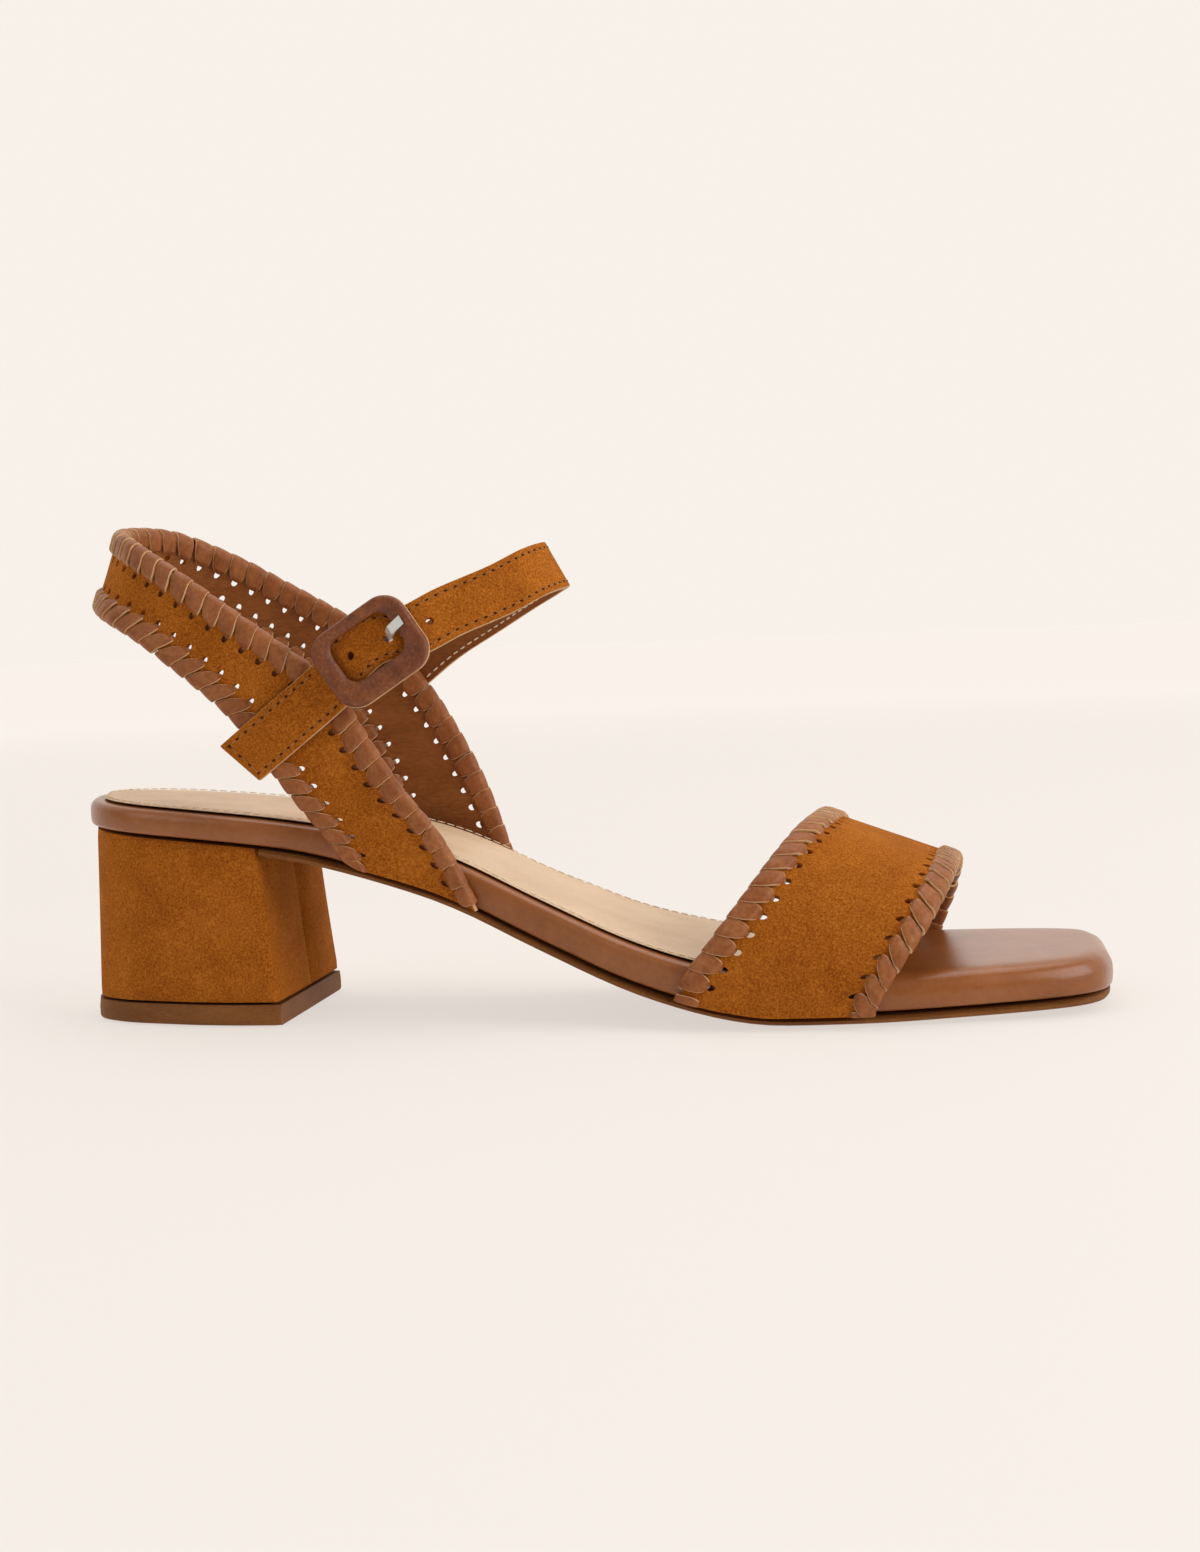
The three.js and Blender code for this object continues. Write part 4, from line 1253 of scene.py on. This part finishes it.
@dataclass
class AnkleStrap:
    """The buckled strap round the front of the ankle, with its buckle's place. Sizes are in mm."""

    width: float = 12.5
    wall: float = 2
    cell: float = 1
    rim_round: float = 0.35
    thread: Stitch = Stitch(1.7, 0.42, 0.26)
    lining_thread: Stitch = Stitch(1.7, 0.42, 0.24)
    # Size of a dark dab that paints the shade of a needle hole
    needle_hole_shade: Stitch = Stitch(0.9, 0.55, 0.16)
    thread_lift: float = 0.02
    stitch_inset: float = 1.5
    stitch_pitch: float = 2.5
    buckle_from_tail: float = 41.7
    buckle_drop: float = 2
    buckle_tilt: float = 0.12
    buckle_length: float = 24.8
    prong_hole: float = 5.7
    hole_pitch: float = 10
    hole_radius: float = 0.95
    prong_drop: float = 1.06
    used_hole_shift: float = 0.7
    used_hole_half: tuple[float, float] = (1.1, 0.9)
    window_reach: float = 8
    window_fade: float = 2
    window_shift: float = 0.5
    window_swell: float = 0.8
    swell_at_edge: float = 0.3
    surface: StrapSurface = field(init=False)

    def __post_init__(self) -> None:
        """Samples the strap's surface."""
        rows = np.array(ANKLE_LINE)
        line = LAST.round_ankle(rows[:, :3])
        turns = np.linspace(0, 1, len(rows))

        def edge_at(t: float, edge: Edge) -> np.ndarray:
            """Point of an edge by the share of the way from the medial end to the tail.

            Args:
                t: The share of the way.
                edge: The edge.

            Returns:
                The point, in mm.
            """
            lean = float(np.interp(t, turns, rows[:, 3]))
            width_way = np.array([-lean, 0, math.sqrt(1 - lean * lean)])
            return centripetal(line, t) + width_way * (edge.value - 0.5) * self.width

        self.surface = StrapSurface(edge_at, [], reach=1)

    def middle(self, distance: float, above: float = 0) -> Vector:
        """Point of the strap's middle line, or that far above it across the strap."""
        return Vector(self.surface.place(np.array([[distance, self.width / 2 + above, 0]]))[0] / MM)

    def buckle_frame(self) -> Matrix:
        """The buckle's own frame in mm: X along the strap to the toe, Y across it, Z out of the foot.

        Returns:
            The frame.
        """
        distance = self.surface.length - self.buckle_from_tail
        reach = self.buckle_length / 2
        way = self.middle(distance - reach) - self.middle(distance + reach)
        along = Vector((way.x, self.buckle_tilt * math.hypot(way.x, way.z), way.z)).normalized()
        out = (Vector((0, -1, 0)) + along * along.y).normalized()
        across = out.cross(along)
        turn = Matrix((along, across, out)).transposed().to_4x4()
        return Matrix.Translation(self.middle(distance, -self.buckle_drop)) @ turn

    def place(self, flat: np.ndarray) -> np.ndarray:
        """Puts points on the strap, which swells out of the buckle's window.

        Args:
            flat: Rows of the distance along, the distance from the rear edge and the offset outwards, in mm.

        Returns:
            The points in space, in metres.
        """
        centre = self.surface.length - self.buckle_from_tail
        reach, fade = self.window_reach, self.window_fade
        near = 1 - smoothstep(np.abs(flat[:, 0] - centre), reach - fade, reach + fade)
        middle = 1 - np.clip(2 * flat[:, 1] / self.width - 1, -1, 1) ** 2
        moved = flat.copy()
        moved[:, 1] += near * self.window_shift
        moved[:, 2] += near * self.window_swell * (self.swell_at_edge + (1 - self.swell_at_edge) * middle)
        return self.surface.place(moved)

    def on_outside(self, p: np.ndarray) -> np.ndarray:
        """Lays points of the pattern on the strap's outer face."""
        return self.place(p + np.array([0, 0, self.wall / 2 + self.thread_lift]))

    def on_lining(self, p: np.ndarray) -> np.ndarray:
        """Lays points of the pattern on the strap's lining."""
        return self.place(p * np.array([1, 1, -1]) - np.array([0, 0, self.wall / 2 + self.thread_lift]))

    def stitch_places(self) -> list[Spot]:
        """Spreads the stitches round the strap.

        Returns:
            Their places and angles.
        """
        inset, pitch, length = self.stitch_inset, self.stitch_pitch, self.surface.length
        count = int((length - 2 * inset) / pitch)
        places = []
        for k in range(count):
            distance = inset + (k + 0.5) * (length - 2 * inset) / count
            places += [Spot(distance, inset), Spot(distance, self.width - inset)]
        rows = int((self.width - 2 * inset) / pitch)
        for k in range(rows):
            across = inset + (k + 0.5) * (self.width - 2 * inset) / rows
            places += [Spot(inset, across, math.pi / 2), Spot(length - inset, across, math.pi / 2)]
        return places

    def build(self) -> None:
        """Builds and dresses the strap, its holes, its stitching and the painted shade of its needle holes.
        """
        prong = self.surface.length - self.buckle_from_tail - self.prong_hole
        middle, radius = self.width / 2, self.hole_radius
        punched = [Hole(prong + side * self.hole_pitch, middle, radius, radius) for side in (-1, 1)]
        punched.append(Hole(prong + self.used_hole_shift, middle - self.prong_drop, *self.used_hole_half))
        wall = strap_wall(
            "ankle_strap_wall", self.surface, trim=0, thickness=self.wall, cell=self.cell, holes=punched,
            rim_round=self.rim_round, placing=self.place,
        )
        dress(wall, SUEDE, LINING, RAW_EDGE, replaces="ankle_strap")
        places = self.stitch_places()
        half = self.stitch_pitch / 2
        # Dark dabs between the stitches paint the shade in the needle holes
        between = [Spot(x + (0 if a else half), y + (half if a else 0), a) for x, y, a in places]
        for name, size, spots, placing, finish in (
            ("ankle_strap_stitches", self.thread, places, self.on_outside, THREAD),
            ("ankle_strap_lining_stitches", self.lining_thread, places, self.on_lining, SOCK_EDGE),
            ("ankle_strap_needle_hole_shades", self.needle_hole_shade, between, self.on_outside, NEEDLE_HOLE_SHADE),
        ):
            dress(sew(name, stitch_model(size), spots, placing), finish)


@dataclass
class Buckle:
    """The leather-covered frame buckle. Sizes are in mm."""

    place: Matrix
    length: float = 25
    width: float = 19.6
    corner: float = 5.6
    depth: float = 3
    turn: float = 0.045
    window_half: tuple[float, float] = (7.9, 5.6)
    window_rise: float = 1.15
    window_corner: float = 3
    inner_fall: float = 0.9
    side_straight: float = 0.3
    cover_power: float = 1.5
    rim_power: float = 1.3
    rim_inset: float = 0.9
    rim_proud: float = 0.12
    rim_sink: float = 0.05
    rim_rise: float = 0.7
    cells_around: int = 112
    cells_section: int = 24
    strap_wall: float = 2
    strap_width: float = 12.5
    drop: float = 2
    chape_wall: float = 1
    pivot_radius: float = 0.7
    pivot_sides: int = 16
    pivot_round: float = 0.2
    post: float = 1.4

    def outline(self, share: float, half_x: float, half_y: float, radius: float) -> Vector:
        """Point of a rounded box.

        Args:
            share: The share of the way round, from the middle of the front side.
            half_x: Half of the box's length.
            half_y: Half of its width.
            radius: The radius of its corners.

        Returns:
            The point, flat in the buckle's frame.
        """
        quarter, part = divmod((share % 1) * 4, 1)
        angle = quarter * math.pi / 2
        out = Vector((math.cos(angle), math.sin(angle), 0))
        way = Vector((-out.y, out.x, 0))
        reach, side = (half_x, half_y) if quarter % 2 == 0 else (half_y, half_x)
        straight = self.side_straight
        if part < straight:
            return out * reach + way * (side - radius) * part / straight
        if part > 1 - straight:
            return way * side + out * (reach - radius) * (1 - part) / straight
        turn = (part - straight) / (1 - 2 * straight) * math.pi / 2
        corner = out * (reach - radius) + way * (side - radius)
        return corner + (out * math.cos(turn) + way * math.sin(turn)) * radius

    def ring(
        self, name: str, inner: Outline, outer: Outline, low: float, high: float, power: float
    ) -> bpy.types.Object:
        """Sweeps a rounded bar between two outlines.

        Args:
            name: The piece's name.
            inner: Gives the inner outline's point by the share of the way round.
            outer: Gives the outer outline's point.
            low: The bar's lowest Z in the buckle's frame.
            high: The bar's highest Z.
            power: How square its section is, from 1, round.

        Returns:
            The closed ring.
        """
        ring = add_sheet(name, self.cells_around, self.cells_section)
        skew = Matrix.Rotation(self.turn, 4, "Z")

        def sweep(p: np.ndarray) -> np.ndarray:
            """Bends the sheet into the ring.

            Args:
                p: The sheet's points.

            Returns:
                The ring's points, in metres.
            """
            rows = []
            for u, v, _ in p:
                c, s = math.cos(2 * math.pi * v), math.sin(2 * math.pi * v)
                share = (1 + math.copysign(abs(c) ** (1 / power), c)) / 2
                rise = math.copysign(abs(s) ** (1 / power), s)
                fall = self.inner_fall * (1 - share) ** 2 * max(rise, 0)
                flat = inner(u).lerp(outer(u), share)
                flat.z = (low + high) / 2 + rise * (high - low) / 2 - fall
                rows.append(self.place @ (skew @ flat) * MM)
            return np.array(rows)

        shape(ring, sweep)
        return smooth(close_up(ring), angle=50)

    def window(self, share: float) -> Vector:
        """Point of the window's outline, which sits above the frame's middle."""
        return self.outline(share, *self.window_half, self.window_corner) + Vector((0, self.window_rise, 0))

    def border(self, share: float, inset: float = 0) -> Vector:
        """Point of the frame's outer outline, moved inwards by an inset."""
        return self.outline(share, self.length / 2 - inset, self.width / 2 - inset, self.corner - inset)

    def build(self) -> None:
        """Builds and dresses the frame, its rim and its pivot."""
        low = self.strap_wall / 2 + LAST.seam
        cover = self.ring("buckle_cover", self.window, self.border, low, low + self.depth, self.cover_power)
        dress(cover, BUCKLE, replaces="buckle_frame")
        rim = self.ring(
            "buckle_rim", lambda u: self.border(u, self.rim_inset), lambda u: self.border(u, -self.rim_proud),
            low - self.rim_sink, low + self.rim_rise, self.rim_power,
        )
        dress(rim, RAW_EDGE)
        pivot_z = -(self.strap_wall / 2 + 2 * LAST.seam + self.chape_wall + self.pivot_radius)
        reach = self.strap_width / 2 + LAST.seam + self.post / 2
        corners = [Vector((0, self.drop + side * reach, pivot_z)) for side in (-1, 1)]
        bars = [self.rod(corner, Vector((0, corner.y, low + self.depth / 2))) for corner in corners]
        bars.append(self.rod(*corners))
        dress(smooth(join("buckle_pivot", bars)), NICKEL)
        for node, finish in (("buckle_prong", NICKEL), ("buckle_chape", LINING)):
            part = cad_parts[node]
            part.data.materials.clear()
            part.data.materials.append(FINISHES[finish.name])

    def rod(self, start: Vector, end: Vector) -> bpy.types.Object:
        """Models a rounded rod between two points of the buckle's frame.

        Args:
            start: One end of the rod.
            end: The other end.

        Returns:
            The rod, in place.
        """
        bpy.ops.object.select_all(action="DESELECT")
        way = end - start
        bpy.ops.mesh.primitive_cylinder_add(
            vertices=self.pivot_sides, radius=self.pivot_radius, depth=way.length
        )
        rod = bpy.context.object
        apply_modifier(rod, "BEVEL", width=self.pivot_round, segments=2, limit_method="ANGLE")
        turn = way.to_track_quat("Z", "Y").to_matrix().to_4x4()
        placed = self.place @ Matrix.Translation((start + end) / 2) @ turn
        return shape(rod, lambda p: np.array([placed @ Vector(v) * MM for v in p]))


@dataclass
class Sole:
    """Footbed, sock and outsole. Sizes are in mm, and places along the sole are shares of its length."""

    thread: Stitch = Stitch(2.2, 0.45, 0.26)
    thread_inset: float = 1
    thread_pitch: float = 2.6
    thread_end: float = 1
    thread_samples: int = 260
    thread_crowding: float = 1.5
    nose_gap: float = 0.3
    way_step: float = 0.5
    sock_sink: float = 0.2
    toe_round: float = 4.6
    toe_from: float = 0.7
    toe_fade: float = 0.12
    rim_spans: Sequence[tuple[float, float, int]] = ((0.5, 0.97, 48), (0.975, 1, 26))
    outsole_tuck: float = 0.7
    tuck_from: float = 0.6
    tuck_to: float = 0.9
    toe_tuck: float = 1.3

    def rim_distance(self, p: np.ndarray) -> np.ndarray:
        """Measures from points to the sole's outline, seen from above.

        Args:
            p: The points, in mm.

        Returns:
            The distances, in mm.
        """
        alongs = [along for span in self.rim_spans for along in np.linspace(*span)]
        xs = [LAST.x_at(a) for a in alongs]
        lateral = [(x, -LAST.half_width(x, Side.LATERAL)) for x in xs]
        medial = [(x, LAST.half_width(x, Side.MEDIAL)) for x in reversed(xs)]
        line = np.array([*lateral, *medial])
        nearest = np.full(len(p), np.inf)
        for start, end in zip(line[:-1], line[1:]):
            way = end - start
            share = np.clip(((p[:, :2] - start) @ way) / (way @ way), 0, 1)
            nearest = np.minimum(nearest, np.linalg.norm(p[:, :2] - start - share[:, None] * way, axis=1))
        return nearest

    def round_toe(self, p: np.ndarray) -> np.ndarray:
        """Rounds the wrap's top edge round the toe.

        Args:
            p: The wrap's points.

        Returns:
            The points moved.
        """
        flat = p / MM
        far = self.rim_distance(flat)
        at_toe = smoothstep(LAST.along(flat[:, 0]), self.toe_from, self.toe_from + self.toe_fade)
        radius = self.toe_round * at_toe
        inside = np.clip(1 - far / np.maximum(radius, TINY), 0, 1)
        drop = radius * (1 - np.sqrt(1 - inside**2))
        top = np.array([LAST.top(x) for x in flat[:, 0]])
        share = np.clip((flat[:, 2] - top + LAST.footbed_thickness) / LAST.footbed_thickness, 0, 1)
        flat[:, 2] -= drop * share**2
        return flat * MM

    def tuck_outsole(self, p: np.ndarray) -> np.ndarray:
        """Draws the outsole's edge in under the toe.

        Args:
            p: The outsole's points.

        Returns:
            The points moved.
        """
        flat = p / MM
        share = smoothstep(LAST.along(flat[:, 0]), self.tuck_from, self.tuck_to)
        flat[:, 1] *= 1 - share * self.outsole_tuck / (LAST.ball_width / 2)
        flat[:, 0] -= share * self.outsole_tuck * self.toe_tuck
        return flat * MM

    def sock_line(self) -> tuple[np.ndarray, np.ndarray]:
        """Draws the line of stitches just inside the sock's edge, round the heel.

        Returns:
            Its points, and the length along it to each.
        """
        inset = LAST.sock_inset + self.thread_inset
        height = LAST.seam + LAST.sock_thickness - self.sock_sink
        start, samples = LAST.x_at(0), self.thread_samples
        reach = LAST.x_at(LAST.sock_end) - start - self.thread_end
        spots = [start + reach * (k / samples) ** self.thread_crowding for k in range(samples)]
        lateral = [LAST.rim(x, Side.LATERAL, inset) for x in reversed(spots)]
        medial = [LAST.rim(x, Side.MEDIAL, inset) for x in spots]
        line = [p for p in [*lateral, *medial] if p[0] >= start + inset and abs(p[1]) > self.nose_gap]
        points = np.array([(x, y, LAST.top(x) + height) for x, y in line])
        return points, lengths_along(points)

    def sew_sock(self) -> None:
        """Sews the row of stitches round the sock."""
        line, lengths = self.sock_line()
        count = int(lengths[-1] / self.thread_pitch)
        places = [Spot((k + 0.5) * lengths[-1] / count, 0) for k in range(count)]
        up = np.array([0, 0, 1.0])

        def on_line(place: np.ndarray) -> np.ndarray:
            """Points of the line at lengths along it."""
            return np.stack([np.interp(place, lengths, line[:, k]) for k in range(3)], 1)

        def along_sock(p: np.ndarray) -> np.ndarray:
            """Bends a straight row of stitches to the line.

            Args:
                p: The row's points, in mm.

            Returns:
                The points in space, in metres.
            """
            way = on_line(p[:, 0] + self.way_step) - on_line(p[:, 0] - self.way_step)
            way /= np.linalg.norm(way, axis=1)[:, None]
            return (on_line(p[:, 0]) + np.cross(up, way) * p[:, 1:2] + up * p[:, 2:3]) * MM

        dress(sew("sock_stitches", stitch_model(self.thread), places, along_sock), SOCK_EDGE)

    def build(self) -> None:
        """Builds and dresses the sole's pieces."""
        footbed = shape(softened_node("footbed", "footbed_wrap", levels=2), self.round_toe)
        dress(footbed, WRAP, replaces="footbed")
        sink = np.array([0, 0, self.sock_sink * MM])
        sock = shape(softened_node("insole_sock", "sock", levels=2), lambda p: p - sink)
        dress(sock, SOCK, replaces="insole_sock")
        outsole = shape(softened_node("outsole", "outsole_edge", levels=1, hard_angle=50), self.tuck_outsole)
        dress(outsole, SOLE, replaces="outsole")
        self.sew_sock()


@dataclass
class Heel:
    """The suede-covered block and its top piece. Sizes are in mm."""

    seam_half: float = 0.2
    seam_depth: float = 0.75
    seam_y: float = 1.5
    seam_from: float = 0.8
    seam_near: float = 0.01
    hard_angle: float = 25

    def cut_seam(self, block: bpy.types.Object) -> None:
        """Presses the cover's seam into the middle of the breast.

        Args:
            block: The heel's cover.
        """
        select_only(block)
        bpy.ops.object.mode_set(mode="EDIT")
        for offset in (-self.seam_half, 0, self.seam_half):
            bpy.ops.mesh.select_all(action="SELECT")
            place = (0, (self.seam_y + offset) * MM, 0)
            bpy.ops.mesh.bisect(plane_co=place, plane_no=(0, 1, 0))
        bpy.ops.object.mode_set(mode="OBJECT")
        points = points_of(block) / MM
        ahead = points[:, 0] > 0
        on_seam = np.abs(points[:, 1] - self.seam_y) < self.seam_near
        inside = (points[:, 2] > LAST.top_piece + self.seam_from) & on_seam
        points[ahead & inside, 0] -= self.seam_depth
        block.data.vertices.foreach_set("co", (points * MM).ravel())
        block.data.update()

    def build(self) -> None:
        """Builds and dresses the heel."""
        block = softened_node("heel_block", "heel_cover", levels=2, hard_angle=self.hard_angle)
        self.cut_seam(block)
        dress(block, SUEDE, replaces="heel_block")
        top_piece = softened_node("heel_top_piece", "heel_lift", levels=1, hard_angle=self.hard_angle)
        dress(top_piece, SOLE, replaces="heel_top_piece")


@dataclass
class Studio:
    """The pale floor, the soft lights and the camera. Lengths are in metres."""

    camera_place: tuple[float, float, float] = (0.18371, -0.5309, 0.09015)
    image_right: tuple[float, float, float] = (0.98814, 0.14882, -0.03785)
    image_up: tuple[float, float, float] = (0.02792, 0.06829, 0.99728)
    back: tuple[float, float, float] = (0.15099, -0.9865, 0.06332)
    lens: float = 50.94
    sensor: float = 36
    paper: Colour = (0.94, 0.88, 0.82)
    floor_size: float = 60
    floor_drop: float = 0.0002
    floor_share: float = 0.24
    floor_roughness: float = 0.9
    floor_specular: float = 0.1
    floor_glow: float = 0.69
    far_glow: float = 0.84
    glow_from: float = 0.3
    glow_to: float = 2.2
    dim_side: float = 0.22
    dim_edge: float = 0.3
    aim: tuple[float, float, float] = (0.09, 0, 0.04)
    lamps: Sequence[Lamp] = (
        Lamp("key", (1.15, -0.4, 0.6), 0.9, 10), Lamp("fill", (-0.8, -0.9, 0.8), 1, 4),
        Lamp("top", (0.1, 0.2, 1.3), 1.1, 6),
    )

    def camera(self) -> None:
        """Places the camera where the photograph was taken."""
        data = bpy.data.cameras.new("camera")
        data.lens, data.sensor_width, data.sensor_fit = self.lens, self.sensor, "AUTO"
        camera = bpy.data.objects.new("camera", data)
        turn = Matrix((self.image_right, self.image_up, self.back)).transposed().to_4x4()
        camera.matrix_world = Matrix.Translation(self.camera_place) @ turn
        bpy.context.scene.collection.objects.link(camera)
        bpy.context.scene.camera = camera

    def floor(self) -> None:
        """Lays a wide sheet of pale paper under the sandal."""
        bpy.ops.object.select_all(action="DESELECT")
        bpy.ops.mesh.primitive_grid_add(
            x_subdivisions=4, y_subdivisions=4, size=self.floor_size, location=(0, 0, -self.floor_drop)
        )
        paper = bpy.context.object
        paper.name = "paper"
        material = bpy.data.materials.new("pale_paper")
        material.use_nodes = True
        nodes, links = material.node_tree.nodes, material.node_tree.links
        shader = nodes["Principled BSDF"]
        shader.inputs["Base Color"].default_value = (*(c * self.floor_share for c in self.paper), 1)
        shader.inputs["Roughness"].default_value = self.floor_roughness
        shader.inputs["Specular IOR Level"].default_value = self.floor_specular
        shader.inputs["Emission Color"].default_value = (*self.paper, 1)
        place = nodes.new("ShaderNodeTexCoord")
        away = nodes.new("ShaderNodeVectorMath")
        away.operation = "LENGTH"
        glow = nodes.new("ShaderNodeMapRange")
        glow.inputs["From Min"].default_value = self.glow_from
        glow.inputs["From Max"].default_value = self.glow_to
        glow.inputs["To Min"].default_value = self.floor_glow
        glow.inputs["To Max"].default_value = self.far_glow
        links.new(place.outputs["Object"], away.inputs[0])
        links.new(away.outputs["Value"], glow.inputs["Value"])
        links.new(glow.outputs["Result"], shader.inputs["Emission Strength"])
        paper.data.materials.append(material)

    def light(self, lamp: Lamp) -> None:
        """Hangs a light that faces the sandal.

        Args:
            lamp: The light's place, size and power.
        """
        data = bpy.data.lights.new(lamp.name, "AREA")
        data.shape, data.size, data.energy = "SQUARE", lamp.size, lamp.power
        light = bpy.data.objects.new(lamp.name, data)
        way = Vector(self.aim) - Vector(lamp.place)
        light.location = lamp.place
        light.rotation_mode = "QUATERNION"
        light.rotation_quaternion = way.to_track_quat("-Z", "Y")
        bpy.context.scene.collection.objects.link(light)

    def room(self) -> None:
        """Makes the room bright behind the sandal and dim on the camera's side."""
        world = bpy.data.worlds.new("studio")
        world.use_nodes = True
        nodes, links = world.node_tree.nodes, world.node_tree.links
        background = nodes["Background"]
        background.inputs["Color"].default_value = (*self.paper, 1)
        way = nodes.new("ShaderNodeTexCoord")
        parts = nodes.new("ShaderNodeSeparateXYZ")
        strength = nodes.new("ShaderNodeMapRange")
        strength.inputs["From Min"].default_value = -self.dim_edge
        strength.inputs["From Max"].default_value = self.dim_edge
        strength.inputs["To Min"].default_value = self.dim_side
        strength.inputs["To Max"].default_value = 1
        links.new(way.outputs["Generated"], parts.inputs["Vector"])
        links.new(parts.outputs["Y"], strength.inputs["Value"])
        links.new(strength.outputs["Result"], background.inputs["Strength"])
        bpy.context.scene.world = world

    def build(self) -> None:
        """Builds the studio."""
        self.camera()
        self.floor()
        self.room()
        bpy.context.scene.view_settings.view_transform = "Standard"
        for lamp in self.lamps:
            self.light(lamp)


def main() -> None:
    """Builds the sandal piece by piece."""
    logging.basicConfig(level=logging.INFO, format="%(name)s: %(message)s")
    Studio().build()
    Sole().build()
    Heel().build()
    ToeStrap().build()
    QuarterStrap().build()
    ankle_strap = AnkleStrap()
    ankle_strap.build()
    Buckle(ankle_strap.buckle_frame()).build()


if __name__ == "__main__":
    main()
